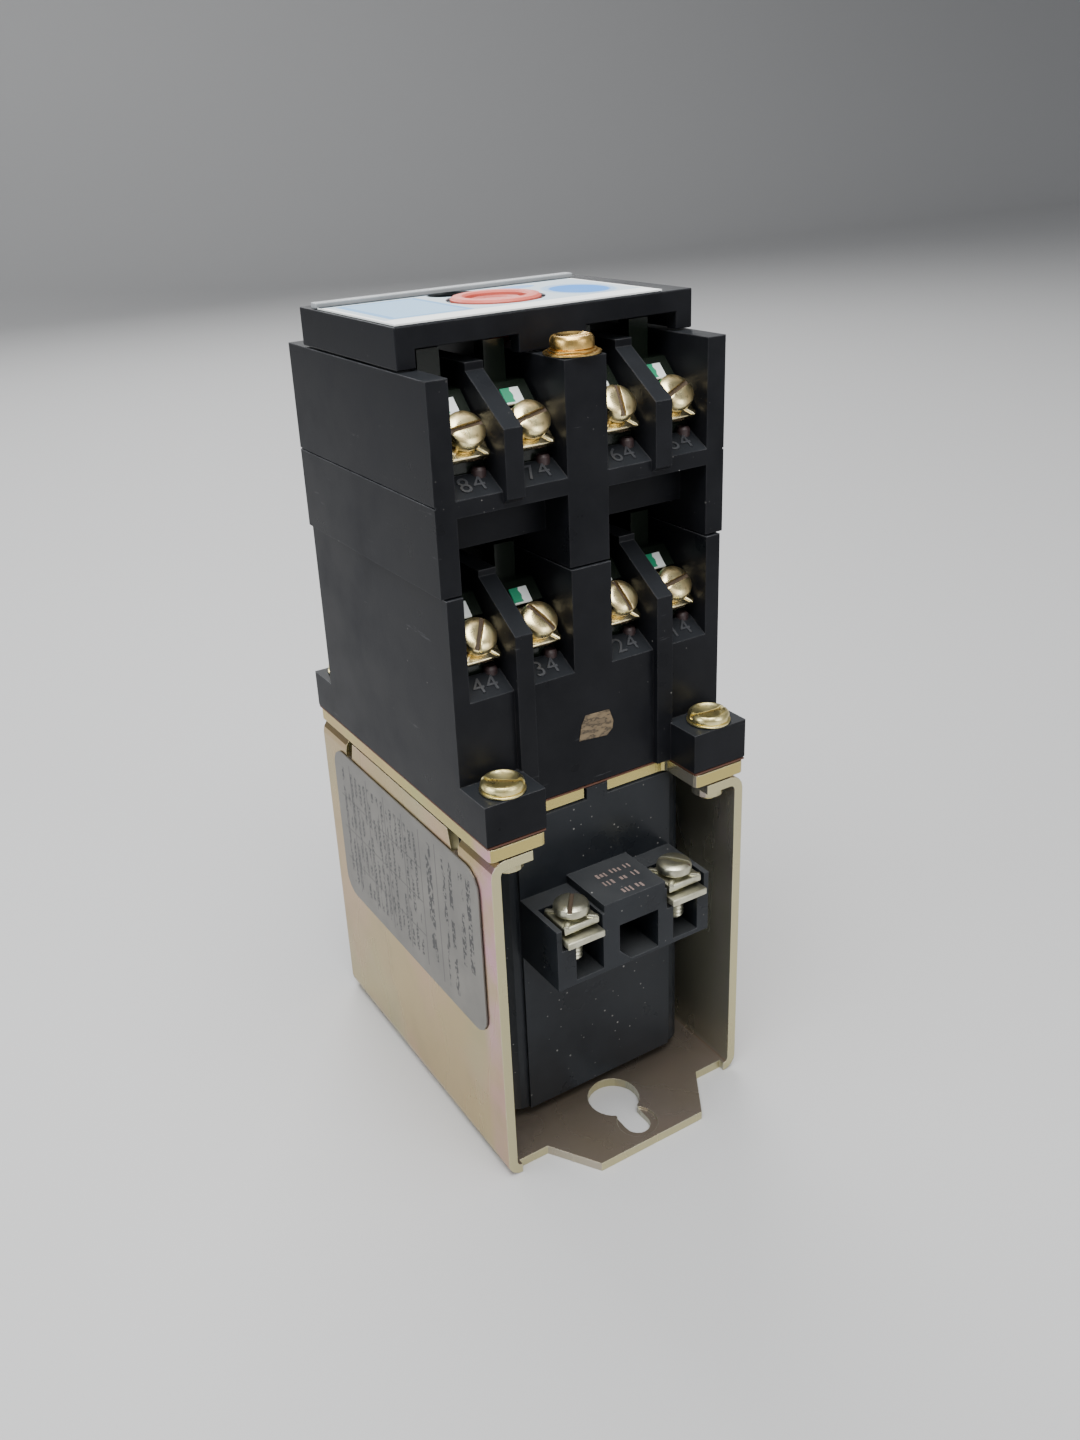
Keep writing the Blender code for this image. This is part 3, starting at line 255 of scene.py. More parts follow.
def plated(name, pale, warm, cool, cut, dust_and_top_light, roughness, clouds=45.0):
    """Yellow zinc plate: gold that drifts to pink and to green. The inner walls are greyer and less metallic,
    which paints light into their shade. Its cut faces at the front and rear are pale, faces that look up have
    a dull film that is dust and painted light, the left wall has a pink strip up its front edge, and the
    sharp edges carry a painted highlight."""
    shader = Shader(name, pale, roughness, 0.96)
    x, y, z = shader.position()
    face_x, face_y, face_z = shader.facing()
    drift = shader.noise(clouds, 3.0)
    other = shader.noise(clouds * 0.6, 2.0, 0.5, (1.0, 1.3, 0.8))
    body = shader.blend(shader.ramp(drift, 0.45, 0.68), pale, warm)
    body = shader.blend(shader.ramp(other, 0.50, 0.72), body, cool)
    strip = shader.times(
        shader.ramp(y, -27.2 * MM, -29.6 * MM),
        shader.ramp(face_x, -0.30, -0.70),
        shader.ramp(z, 12.0 * MM, 50.0 * MM, 0.35, 1.0),
        shader.ramp(shader.noise(160.0), 0.35, 0.65, 0.2, 0.8))
    body = shader.blend(strip, body, PINK_ZINC)
    grime = shader.ramp(shader.noise(110.0, 3.0, 0.5), 0.50, 0.80)
    body = shader.blend(shader.times(grime, 0.30), body, shade(pale, 0.6))
    ends = shader.ramp(shader.sums("ABSOLUTE", face_y), 0.60, 0.85)
    body = shader.blend(ends, body, cut)
    # Dust and painted light: faces that look up take a duller film, and the metal shines less there.
    upward = shader.ramp(face_z, 0.60, 0.95)
    dust_and_light_film = shader.times(upward, shader.ramp(shader.noise(60.0, 3.0), 0.30, 0.65, 0.78, 0.95))
    body = shader.blend(dust_and_light_film, body, dust_and_top_light)
    # Painted light: the inner walls are blended toward a greyer colour and made less metallic, so they look
    # brighter in their shade.
    inner_wall_light = shader.times(
        shader.ramp(shader.sums("ABSOLUTE", x), 25.4 * MM, 24.8 * MM),
        shader.ramp(shader.sums("ABSOLUTE", face_x), 0.60, 0.90),
        0.8)
    body = shader.blend(inner_wall_light, body, INNER_WALL_LIGHT_ZINC)
    # Painted highlight along the sharp edges, strongest on edges that face up.
    highlight_along = shader.ramp(shader.noise(240.0), 0.35, 0.65, 0.2, 0.9)
    edge = shader.times(shader.edges(0.30 * MM, 0.7), highlight_along)
    body = shader.blend(edge, body, EDGE_HIGHLIGHT_ZINC)
    dust = shader.times(shader.specks(700.0, 0.40, 0.55), shader.ramp(upward, 0.0, 1.0, 0.12, 0.35))
    body = shader.blend(dust, body, ZINC_DUST)
    shader.set("Base Color", body)
    shader.set("Metallic", shader.ramp(shader.sums("ADD", dust_and_light_film, inner_wall_light), 0.0, 1.0, 0.96, 0.72))
    gloss = shader.noise(90.0, 3.0, 0.5, (1.0, 1.0, 0.3))
    shader.set("Roughness", shader.ramp(gloss, 0.3, 0.7, roughness - 0.02, roughness + 0.03))
    return shader.material


def metal(name, colour, tarnish, roughness):
    """Small bright hardware: uneven tarnish, brushed streaks and a little dark dirt."""
    shader = Shader(name, colour, roughness, 1.0)
    cloud = shader.noise(420.0, 4.0, 0.6)
    streak = shader.noise(900.0, 3.0, 0.6, (1.0, 0.12, 1.0))
    darkening = shader.ramp(shader.noise(650.0, 4.0, 0.6), 0.60, 0.74, 0.0, 0.75)
    body = shader.blend(shader.ramp(cloud, 0.42, 0.72), colour, tarnish)
    body = shader.blend(shader.ramp(streak, 0.50, 0.66, 0.0, 0.45), body, tarnish)
    body = shader.blend(darkening, body, shade(tarnish, 0.28))
    shader.set("Base Color", body)
    shader.set("Roughness", shader.ramp(cloud, 0.3, 0.7, roughness - 0.06, roughness + 0.12))
    shader.bumps(streak, 0.16, 0.1 * MM)
    return shader.material


def plain(name, colour, roughness):
    """One colour with a fine grain."""
    shader = Shader(name, colour, roughness)
    cloud = shader.noise(160.0, 3.0)
    shader.set("Base Color", shader.blend(shader.ramp(cloud, 0.35, 0.7), colour, shade(colour, 0.82)))
    shader.bumps(shader.noise(2200.0, 2.0), 0.03, 0.1 * MM)
    return shader.material


def smoky():
    """Smoky green translucent plastic."""
    shader = Shader("smoke_green", (0.014, 0.020, 0.014), 0.16)
    shader.set("Transmission Weight", 0.35)
    shader.set("Specular IOR Level", 0.30)
    shader.set("IOR", 1.49)
    shader.bumps(shader.noise(900.0, 2.0), 0.04, 0.1 * MM)
    return shader.material


def dried_compound():
    """Tan compound with dark cracks."""
    tan = (0.20, 0.145, 0.080)
    shader = Shader("dried_compound", tan, 0.60)
    crack = shader.noise(520.0, 4.0, 0.6, (0.6, 1.0, 1.5))
    dark = shader.ramp(shader.sums("ABSOLUTE", shader.sums("SUBTRACT", crack, 0.5)), 0.05, 0.0)
    body = shader.blend(shader.ramp(crack, 0.35, 0.65), tan, (0.13, 0.095, 0.055))
    shader.set("Base Color", shader.blend(dark, body, (0.045, 0.032, 0.018)))
    shader.bumps(crack, 0.8, 0.3 * MM)
    return shader.material


def rating_foil():
    """Silver foil with columns of greeked print that read upwards, and ruled lines between them."""
    shader = Shader("silver_foil", (0.32, 0.31, 0.28), 0.42, 0.35)
    y, z = shader.position()[1:]
    marks = []

    def words(low_y, high_y, low_z, high_z, pitch, weight=0.5, grain=1500.0):
        """Rows of print: bars across Y at a pitch, broken along Z into words."""
        row = shader.sums("FRACT", shader.sums("DIVIDE", shader.sums("SUBTRACT", y, low_y * MM), pitch * MM))
        bars = shader.inside(row, 0.5 - weight / 2, 0.5 + weight / 2)
        small, broad = shader.place((1.0, 1.2, 1.0)), shader.place((1.0, 1.6, 1.0))
        letters = shader.node("ShaderNodeTexNoise", "Fac", Vector=small, Scale=grain, Detail=1.0)
        gaps = shader.node("ShaderNodeTexNoise", "Fac", Vector=broad, Scale=260.0, Detail=0.0)
        printed = shader.times(bars, shader.ramp(letters, 0.44, 0.50), shader.ramp(gaps, 0.40, 0.44))
        marks.append(shader.times(printed, shader.field(y, z, low_y, low_z, high_y, high_z)))

    def rule(low_y, high_y, low_z, high_z):
        """A ruled line."""
        marks.append(shader.times(shader.field(y, z, low_y, low_z, high_y, high_z), 0.7))

    words(-27.0, -21.5, 40.0, 59.0, 2.6, 0.55)
    words(-20.5, -15.5, 31.5, 59.0, 2.4, 0.5)
    words(-13.0, -9.5, 34.0, 59.0, 3.4, 0.6)
    words(-7.0, 25.0, 32.0, 58.5, 1.9, 0.5, 1900.0)
    for column in (-14.2, -8.1, -1.5, 6.0, 13.5, 21.0):
        rule(column, column + 0.25, 31.0, 60.0)
    for line in (37.2, 44.5, 51.8):
        rule(-8.1, 26.0, line, line + 0.22)
    ink = marks[0]
    for mark in marks[1:]:
        ink = shader.sums("MAXIMUM", ink, mark)
    cloud = shader.noise(120.0, 4.0)
    base = shader.blend(shader.ramp(cloud, 0.3, 0.7), (0.185, 0.176, 0.158), (0.140, 0.134, 0.122))
    shader.set("Base Color", shader.blend(shader.times(ink, 0.95), base, (0.018, 0.018, 0.020)))
    shader.bumps(shader.noise(1400.0, 2.0), 0.03, 0.1 * MM)
    return shader.material


def cap_print():
    """The cap's label: white with pale blue fields, a blue oval on the right, a painted shadow line along the
    foot of the lip, and a dark mark near it."""
    shader = Shader("white_vinyl", (0.72, 0.76, 0.80), 0.45)
    x, y = shader.position()[:2]

    def oval(centre_x, centre_y, half_x, half_y):
        """1 inside an ellipse, else 0, with a soft edge."""
        across = shader.sums("DIVIDE", shader.sums("SUBTRACT", x, centre_x * MM), half_x * MM)
        along = shader.sums("DIVIDE", shader.sums("SUBTRACT", y, centre_y * MM), half_y * MM)
        radius = shader.sums("ADD", shader.sums("POWER", across, 2.0), shader.sums("POWER", along, 2.0))
        return shader.ramp(radius, 1.10, 0.90)

    def field(*corners):
        """1 inside a rectangle, else 0."""
        return shader.field(x, y, *corners)

    border = shader.sums("SUBTRACT", 1.0, field(-25.9, -11.6, 20.6, 11.3))
    base = shader.blend(field(-24.6, -11.0, -10.4, 9.2), (0.58, 0.68, 0.74), (0.26, 0.46, 0.72))
    base = shader.blend(field(-23.4, -10.0, -11.4, 8.2), base, (0.38, 0.57, 0.77))
    base = shader.blend(oval(13.6, -3.6, 5.6, 7.6), base, (0.38, 0.54, 0.74))
    base = shader.blend(oval(13.6, -3.8, 4.6, 6.0), base, (0.11, 0.31, 0.74))
    base = shader.blend(oval(8.0, 6.9, 3.4, 2.0), base, (0.30, 0.48, 0.76))
    base = shader.blend(border, base, (0.94, 0.96, 0.94))
    # Painted shadow: a dark line along the foot of the lip.
    base = shader.blend(field(-26.6, 10.1, 21.2, 12.0), base, (0.045, 0.055, 0.065))
    base = shader.blend(oval(-3.8, 8.2, 4.4, 3.4), base, (0.004, 0.005, 0.006))
    grime = shader.ramp(shader.noise(140.0, 4.0), 0.5, 0.8, 0.0, 0.18)
    shader.set("Base Color", shader.blend(grime, base, (0.42, 0.44, 0.44)))
    shader.set("Specular IOR Level", 0.0)
    return shader.material


def flag_paint():
    """A white flag with a green half."""
    shader = Shader("flag_print", (0.85, 0.88, 0.86), 0.40)
    x, y = shader.position()[:2]
    edge = shader.sums("ADD", x, shader.ramp(shader.noise(900.0, 2.0), 0.3, 0.7, -0.3 * MM, 0.3 * MM))
    green = shader.times(shader.sums("LESS_THAN", edge, 0.1 * MM), shader.sums("GREATER_THAN", y, -1.2 * MM))
    shader.set("Base Color", shader.blend(green, (0.78, 0.82, 0.80), (0.01, 0.24, 0.12)))
    return shader.material


# For the black mouldings, the third colour draws the scratches and the painted highlight on the edges, and
# the fourth is the film on faces that look up, which is dust and painted light.
DECK_BLACK = moulded(
    "black_phenolic", (0.0064, 0.0068, 0.0084), (0.20, 0.20, 0.21), (0.020, 0.022, 0.025), 0.34, 0.085)
COIL_BLACK = moulded(
    "black_nylon", (0.0100, 0.0118, 0.0146), (0.14, 0.14, 0.15), (0.040, 0.042, 0.044), 0.32, 0.20, 0.40)
# For the zinc, the sixth colour is the film on faces that look up, which is dust and painted light.
FRAME_ZINC = plated(
    "yellow_zinc_sheet", (0.47, 0.36, 0.175), (0.52, 0.34, 0.22), (0.42, 0.40, 0.21), (0.52, 0.475, 0.28),
    (0.285, 0.240, 0.205), 0.27)
PLATE_ZINC = plated(
    "yellow_zinc_plate", (0.54, 0.42, 0.14), (0.54, 0.35, 0.15), (0.46, 0.44, 0.15), (0.50, 0.41, 0.15),
    (0.40, 0.31, 0.15), 0.25, 90.0)
SCREW_ZINC = metal("yellow_zinc", (0.90, 0.80, 0.40), (0.74, 0.60, 0.25), 0.30)
STACK_ZINC = metal("yellow_zinc_long", (0.90, 0.60, 0.20), (0.62, 0.38, 0.11), 0.26)
TERMINAL_METAL = metal("pale_brass", (0.93, 0.81, 0.43), (0.75, 0.56, 0.27), 0.28)
CLAMP_METAL = metal("clamp_brass", (0.86, 0.75, 0.44), (0.66, 0.50, 0.28), 0.20)
COIL_SCREW_METAL = metal("nickel", (0.60, 0.59, 0.46), (0.44, 0.42, 0.31), 0.34)
BRIGHT_STEEL = metal("bright_steel", (0.62, 0.61, 0.59), (0.48, 0.47, 0.45), 0.30)
COPPER = metal("copper", (0.62, 0.28, 0.14), (0.45, 0.20, 0.10), 0.42)
# A dark brown strip laid on the floor of each screw slot.
SLOT_FLOOR_BROWN = plain("slot_floor_brown", (0.060, 0.038, 0.022), 0.70)
# Painted highlight: the raised numerals are the deck's black moulding, drawn lighter to stand for the light
# on their edges.
NUMERAL_HIGHLIGHT_BLACK = plain("numeral_painted_highlight", (0.047, 0.049, 0.054), 0.34)
POST_METAL = plain("post_copper", (0.055, 0.034, 0.034), 0.45)
DAB = dried_compound()
PRINT = plain("block_print", (0.22, 0.16, 0.14), 0.60)
NYLON = plain("natural_nylon", (0.55, 0.53, 0.46), 0.50)
SMOKE = smoky()
BROWN = plain("fish_paper", (0.10, 0.035, 0.018), 0.60)
GREY = plain("grey_plastic", (0.36, 0.38, 0.39), 0.38)
RED = plain("red_nylon", (0.70, 0.14, 0.10), 0.50)
BUTTON_RED = plain("button_red", (0.56, 0.10, 0.07), 0.45)
FOIL = rating_foil()
CAP_VINYL = cap_print()
FLAG = flag_paint()


# ---- CAD pieces --------------------------------------------------------------------------------------

def soften(piece, width):
    """Clean the triangles away with modifiers, then round the sharp edges."""
    weld = piece.modifiers.new("Weld", "WELD")
    weld.merge_threshold = WELD_DISTANCE * MM
    flat = piece.modifiers.new("Flatten", "DECIMATE")
    flat.decimate_type = "DISSOLVE"
    flat.angle_limit = math.radians(1.0)
    bevel = piece.modifiers.new("Bevel", "BEVEL")
    bevel.width = width * MM
    bevel.segments = 2
    bevel.limit_method = "ANGLE"
    bevel.angle_limit = math.radians(30)
    bevel.harden_normals = True
    bevel.use_clamp_overlap = True


def finish_piece(name, material, bevel=0.0):
    """Give a CAD node its material and its rounded edges."""
    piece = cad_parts[name]
    piece.data.materials.clear()
    piece.data.materials.append(material)
    if bevel:
        soften(piece, bevel)


finish_piece("yoke_frame", FRAME_ZINC, 0.22)
finish_piece("top_plate", PLATE_ZINC, 0.25)
finish_piece("insulating_sheet", BROWN)
finish_piece("coil_case", COIL_BLACK, 0.30)
finish_piece("coil_spool", NYLON)
finish_piece("coil_winding", COPPER)
finish_piece("fixed_core", BRIGHT_STEEL)
finish_piece("armature", BRIGHT_STEEL)
finish_piece("drive_rod", NYLON)
finish_piece("crossbar_a", NYLON, 0.2)
finish_piece("crossbar_b", NYLON, 0.2)
finish_piece("return_spring", BRIGHT_STEEL)
finish_piece("operator_button", BUTTON_RED)
finish_piece("deck_a_housing", DECK_BLACK, 0.22)
finish_piece("deck_b_housing", DECK_BLACK, 0.22)
finish_piece("top_cover", DECK_BLACK, 0.30)
finish_piece("face_label", CAP_VINYL)
finish_piece("label_lip", GREY, 0.25)
finish_piece("operator_ring", RED)
finish_piece("rating_label", FOIL)
for deck in DECK_LIFT:
    for bay in BAY_X:
        finish_piece(f"cartridge_{deck}{bay}", SMOKE, 0.2)
        finish_piece(f"contact_bridge_{deck}{bay}", CLAMP_METAL)


# ---- Mesh helpers ------------------------------------------------------------------------------------

def new_object(name, mesh, *materials):
    """A mesh in the scene as an object."""
    made = bpy.data.objects.new(name, mesh)
    bpy.context.scene.collection.objects.link(made)
    for item in materials:
        mesh.materials.append(item)
    return made


def from_bmesh(name, shape, *materials):
    """Finish a bmesh in millimetres as an object in metres."""
    bmesh.ops.scale(shape, vec=(MM, MM, MM), verts=shape.verts)
    bmesh.ops.recalc_face_normals(shape, faces=shape.faces)
    mesh = bpy.data.meshes.new(name)
    shape.to_mesh(mesh)
    shape.free()
    return new_object(name, mesh, *materials)


def circle(centre, radius, sides):
    """Points round a circle."""
    turns = [2 * math.pi * step / sides for step in range(sides)]
    return [(centre[0] + radius * math.cos(turn), centre[1] + radius * math.sin(turn)) for turn in turns]


def prism(name, outline, axis, low, high, *materials):
    """Extrude an outline along X, Y or Z."""
    shape = bmesh.new()
    corners = []
    for point in outline:
        corner = list(point)
        corner.insert("XYZ".index(axis), low)
        corners.append(shape.verts.new(corner))
    face = shape.faces.new(corners)
    end = bmesh.ops.extrude_face_region(shape, geom=[face])
    step = Vector([high - low if letter == axis else 0.0 for letter in "XYZ"])
    moved = [item for item in end["geom"] if isinstance(item, bmesh.types.BMVert)]
    bmesh.ops.translate(shape, vec=step, verts=moved)
    return from_bmesh(name, shape, *materials)


def block(name, low, high, *materials):
    """A box between two corners."""
    outline = [(low[0], low[1]), (high[0], low[1]), (high[0], high[1]), (low[0], high[1])]
    return prism(name, outline, "Z", low[2], high[2], *materials)


def turned(name, profile, sides, *materials, ring=False):
    """Turn (radius, z) points round the Z axis."""
    shape = bmesh.new()
    rows = []
    for radius, z in profile:
        if radius == 0:
            rows.append([shape.verts.new((0, 0, z))])
        else:
            rows.append([shape.verts.new((x, y, z)) for x, y in circle((0, 0), radius, sides)])
    pairs = list(zip(rows, rows[1:]))
    if ring:
        pairs.append((rows[-1], rows[0]))
    for upper, lower in pairs:
        for step in range(sides):
            after = (step + 1) % sides
            corners = [upper[step % len(upper)], lower[step % len(lower)]]
            if len(lower) > 1:
                corners.append(lower[after])
            if len(upper) > 1:
                corners.append(upper[after])
            shape.faces.new(corners)
    return from_bmesh(name, shape, *materials)


def apply_modifiers(piece):
    """Bake the modifiers into the mesh, and remove the Boolean tools."""
    graph = bpy.context.evaluated_depsgraph_get()
    mesh = bpy.data.meshes.new_from_object(piece.evaluated_get(graph))
    tools = [step.object for step in piece.modifiers if step.type == "BOOLEAN"]
    piece.modifiers.clear()
    piece.data = mesh
    for tool in tools:
        bpy.data.objects.remove(tool)
    return piece


def cut_away(piece, *tools):
    """Take tools away from a piece, exactly."""
    for tool in tools:
        step = piece.modifiers.new("Cut", "BOOLEAN")
        step.operation = "DIFFERENCE"
        step.solver = "EXACT"
        step.object = tool
    bpy.context.view_layer.update()
    return apply_modifiers(piece)


def rounded_edges(piece, width, segments=2, angle=30):
    """Bevel the sharp edges of a new piece and bake it."""
    bevel = piece.modifiers.new("Bevel", "BEVEL")
    bevel.width = width * MM
    bevel.segments = segments
    bevel.limit_method = "ANGLE"
    bevel.angle_limit = math.radians(angle)
    bpy.context.view_layer.update()
    apply_modifiers(piece)
    piece.data.shade_smooth()
    piece.data.set_sharp_from_angle(angle=SHARP)
    return piece


def fuse(name, *pieces):
    """Merge pieces into one mesh that keeps their materials, and return the mesh."""
    shape = bmesh.new()
    materials = []
    for piece in pieces:
        slots = []
        for item in piece.data.materials:
            if item not in materials:
                materials.append(item)
            slots.append(materials.index(item))
        mesh = piece.data.copy()
        mesh.transform(piece.matrix_world)
        for polygon in mesh.polygons:
            polygon.material_index = slots[polygon.material_index] if slots else 0
        shape.from_mesh(mesh)
    mesh = bpy.data.meshes.new(name)
    shape.to_mesh(mesh)
    shape.free()
    for item in materials:
        mesh.materials.append(item)
    mesh.shade_smooth()
    mesh.set_sharp_from_angle(angle=SHARP)
    for piece in pieces:
        bpy.data.objects.remove(piece)
    return mesh


def take_mesh(piece):
    """Keep a piece's mesh and remove the object."""
    mesh = piece.data
    bpy.data.objects.remove(piece)
    return mesh


def bay_ends():
    """Every bay's deck, lift, number and X, with each of its two ends as a sign and a word."""
    for deck, lift in DECK_LIFT.items():
        for bay, x in BAY_X.items():
            for end, word in FRONT_AND_REAR:
                yield deck, lift, bay, x, end, word


def stand_in(name, mesh, node, place, turn=(0, 0, 0)):
    """Place a mesh on the fixed body, in a CAD node's stead if one is named."""
    made = bpy.data.objects.new(name, mesh)
    bpy.context.scene.collection.objects.link(made)
    made.location = Vector(place) * MM
    made.rotation_euler = turn
    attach(made, "frame")
    if node:
        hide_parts(node)
    return made


def threaded(name, radius, low, high, pitch, material):
    """A shank with ridges like a thread."""
    profile = [(0, high)]
    z = high
    while z > low + 0.9:
        profile += [(radius - 0.22, z), (radius, z - pitch * 0.5)]
        z -= pitch
    profile += [(radius - 0.5, low), (0, low)]
    return turned(name, profile, 20, material)


# ---- Screws and clamps -------------------------------------------------------------------------------

def screw_head(name, radius, low, high, slot_width, slot_depth, material):
    """A pan head with a slot, its edges rounded. A dark brown strip on the slot's floor is a second piece."""
    head = turned(name, [
        (0, high), (radius * 0.55, high - 0.04), (radius * 0.80, high - 0.18), (radius * 0.95, high - 0.52),
        (radius, high - 1.0), (radius, low + 0.12), (radius - 0.12, low), (0, low),
    ], 40, material)
    half = slot_width / 2
    slot = block("slot_tool", (-radius - 1, -half, high - slot_depth), (radius + 1, half, high + 1))
    rounded_edges(cut_away(head, slot), 0.06, 2, 40)
    reach = radius * 0.93
    floor = high - slot_depth
    low_corner, high_corner = (-reach, 0.05 - half, floor - 0.1), (reach, half - 0.05, floor + 0.1)
    darkening = block(name + "_dirt", low_corner, high_corner, SLOT_FLOOR_BROWN)
    return [head, darkening]


def turn_pieces(pieces, angle):
    """Turn pieces about the vertical axis."""
    for piece in pieces:
        piece.data.transform(Matrix.Rotation(angle, 4, "Z"))


def clamp_plate(name, half_x, half_y, low, high, material, ridge_height):
    """A square clamp plate with a pressed cross on top."""
    plate = rounded_edges(block(name, (-half_x, -half_y, low), (half_x, half_y, high), material), 0.25, 3)
    pieces = [plate]
    reach = half_x * 1.32
    root, crest = high - 0.4, high + ridge_height
    for sign in (-1, 1):
        ridge = block(name + "_ridge", (-reach, -0.5, root), (reach, 0.5, crest), material)
        turn_pieces([ridge], sign * math.radians(45))
        pieces.append(rounded_edges(ridge, 0.3, 2))
    return pieces


def terminal_mesh(slot_turn):
    """A deck terminal, with the same origin and outline as its CAD solid: head, collar, crossed saddle clamp
    and threaded neck."""
    head = screw_head("terminal_head", PAN_RADIUS, -0.7, 1.4, 0.85, 0.75, TERMINAL_METAL)
    turn_pieces(head, slot_turn)
    collar = turned("terminal_collar", [
        (0, -0.6), (2.75, -0.6), (2.85, -0.72), (2.85, -1.2), (2.7, -1.3), (0, -1.3)], 32, CLAMP_METAL)
    saddle = clamp_plate("saddle", 3.6, 3.6, -3.05, -1.75, CLAMP_METAL, 0.32)
    neck = threaded("terminal_neck", 1.6, -6.7, -1.2, 0.7, CLAMP_METAL)
    return fuse("terminal", *head, collar, *saddle, neck)


def coil_terminal_mesh(slot_turn):
    """A coil terminal with its origin on the screw's axis at the base of the relay."""
    head = screw_head("coil_head", PAN_RADIUS, 51.2, 53.1, 0.8, 0.8, COIL_SCREW_METAL)
    turn_pieces(head, slot_turn)
    upper = clamp_plate("coil_upper", 3.5, 3.3, 49.1, 50.4, COIL_SCREW_METAL, 0.35)
    lower = block("coil_lower", (-3.7, -4.7, 47.0), (3.7, 3.3, 48.3), COIL_SCREW_METAL)
    rounded_edges(lower, 0.25, 3)
    shank = threaded("coil_shank", 1.75, 41.6, 51.6, 0.75, COIL_SCREW_METAL)
    return fuse("coil_terminal", *head, *upper, lower, shank)


def washer_screw_mesh(name, sizes, length, material):
    """A screw with a dished, coined head on a washer. The sizes are the head's radius and height and the
    washer's, and the origin is under the washer."""
    radius, height, washer_radius, low = sizes
    high = low + height
    head = turned(name + "_head", [
        (0, high - 0.42), (radius - 1.3, high - 0.36), (radius - 0.95, high - 0.12),
        (radius - 0.70, high), (radius - 0.40, high - 0.06), (radius - 0.12, high - 0.36),
        (radius, high - 0.80), (radius, low + 0.15), (radius - 0.15, low), (0, low)], 48, material)
    slot = block("slot_tool", (-radius - 1, -0.42, high - 0.95), (radius + 1, 0.42, high + 1))
    rounded_edges(cut_away(head, slot), 0.06, 2, 40)
    reach = radius - 0.3
    darkening = block(name + "_dirt", (-reach, -0.38, high - 1.05), (reach, 0.38, high - 0.88), SLOT_FLOOR_BROWN)
    pieces = [head, darkening]
    flat_top = low
    if low > 0.6:
        flat_top = low * 0.5
        pieces.append(turned(name + "_split", [
            (radius + 0.25, low - 0.02), (radius + 0.4, low - 0.1), (radius + 0.4, flat_top + 0.06),
            (radius + 0.25, flat_top), (1.5, flat_top), (1.5, low - 0.02)], 32, material, ring=True))
    pieces.append(turned(name + "_flat", [
        (washer_radius - 0.2, flat_top), (washer_radius, flat_top - 0.1), (washer_radius, 0.06),
        (washer_radius - 0.1, 0.0), (1.5, 0.0), (1.5, flat_top)], 40, material, ring=True))
    pieces.append(threaded(name + "_shank", 1.9, -length, low + 0.3, 0.8, material))
    return fuse(name, *pieces)


def add_hardware():
    """Stand the detailed screws in for their CAD solids."""
    for deck, lift, bay, x, end, word in bay_ends():
        node = f"terminal_{deck}{bay}_{word}"
        mesh = terminal_mesh(random.uniform(0, math.pi))
        place = (x, end * TERMINAL_Y, TERMINAL_Z + lift)
        stand_in(f"{node}_detail", mesh, node, place, (-end * BAY_SLOPE, 0, 0))
    for (side, word), slot_turn in zip(LEFT_AND_RIGHT, (0.9, 2.2)):
        node = f"coil_terminal_{word}"
        place = (side * COIL_TERMINAL_X, COIL_TERMINAL_Y, 0)
        stand_in(f"{node}_detail", coil_terminal_mesh(slot_turn), node, place)
    short = washer_screw_mesh("mounting_screw", MOUNTING_HEAD, MOUNTING_SHANK, SCREW_ZINC)
    across, along, seat = MOUNTING_SCREW_AT
    for end, word in FRONT_AND_REAR:
        for side, side_word in LEFT_AND_RIGHT:
            node = f"mounting_screw_{word}_{side_word}"
            place = (side * across, end * along, seat)
            stand_in(f"{node}_detail", short, node, place, (0, 0, 0.3 * side - 0.4))
    long = washer_screw_mesh("stack_screw", STACK_HEAD, STACK_SHANK, STACK_ZINC)
    for end, word in FRONT_AND_REAR:
        node = f"stack_screw_{word}"
        place = (0, end * STACK_SCREW_Y, STACK_SCREW_Z)
        stand_in(f"{node}_detail", long, node, place, (0, 0, -0.5))


def add_flags():
    """White flags with a green mark, high on the sloping ends of the front and rear of every cartridge."""
    mesh = take_mesh(rounded_edges(block("flag", (-1.65, -1.5, 0.0), (1.65, 1.5, 0.35), FLAG), 0.08, 1))
    for deck, lift, bay, x, end, word in bay_ends():
        place = (x + FLAG_SHIFT[deck], end * FLAG_Y, FLAG_Z + lift)
        stand_in(f"flag_{deck}{bay}_{word}", mesh, None, place, (-end * BAY_SLOPE, 0, 0))


def numeral_mesh(number):
    """One raised two-digit number."""
    line = bpy.data.curves.new(f"numeral_{number}", "FONT")
    line.body = number
    line.size = NUMERAL_SIZE * MM
    line.extrude = NUMERAL_PROUD * MM
    line.space_character = 1.15
    line.align_x = "CENTER"
    line.align_y = "CENTER"
    text = bpy.data.objects.new(f"numeral_{number}", line)
    bpy.context.scene.collection.objects.link(text)
    bpy.context.view_layer.update()
    graph = bpy.context.evaluated_depsgraph_get()
    mesh = bpy.data.meshes.new_from_object(text.evaluated_get(graph))
    mesh.materials.clear()
    # The lighter black is a painted highlight.
    mesh.materials.append(NUMERAL_HIGHLIGHT_BLACK)
    bpy.data.objects.remove(text)
    return mesh


def add_numerals():
    """Raised contact numbers on the sloping shelves: a digit for the pole, then one for the end."""
    for deck, lift, bay, x, end, word in bay_ends():
        pole = int(bay) if deck == "a" else int(bay) + len(BAY_X)
        mesh = numeral_mesh(f"{pole}{4 if end < 0 else 3}")
        place = (x, end * SHELF_Y[deck], NUMERAL_Z + lift)
        turn = (SHELF_SLOPE, 0, 0 if end < 0 else math.pi)
        stand_in(f"numeral_{deck}{bay}_{word}", mesh, None, place, turn)


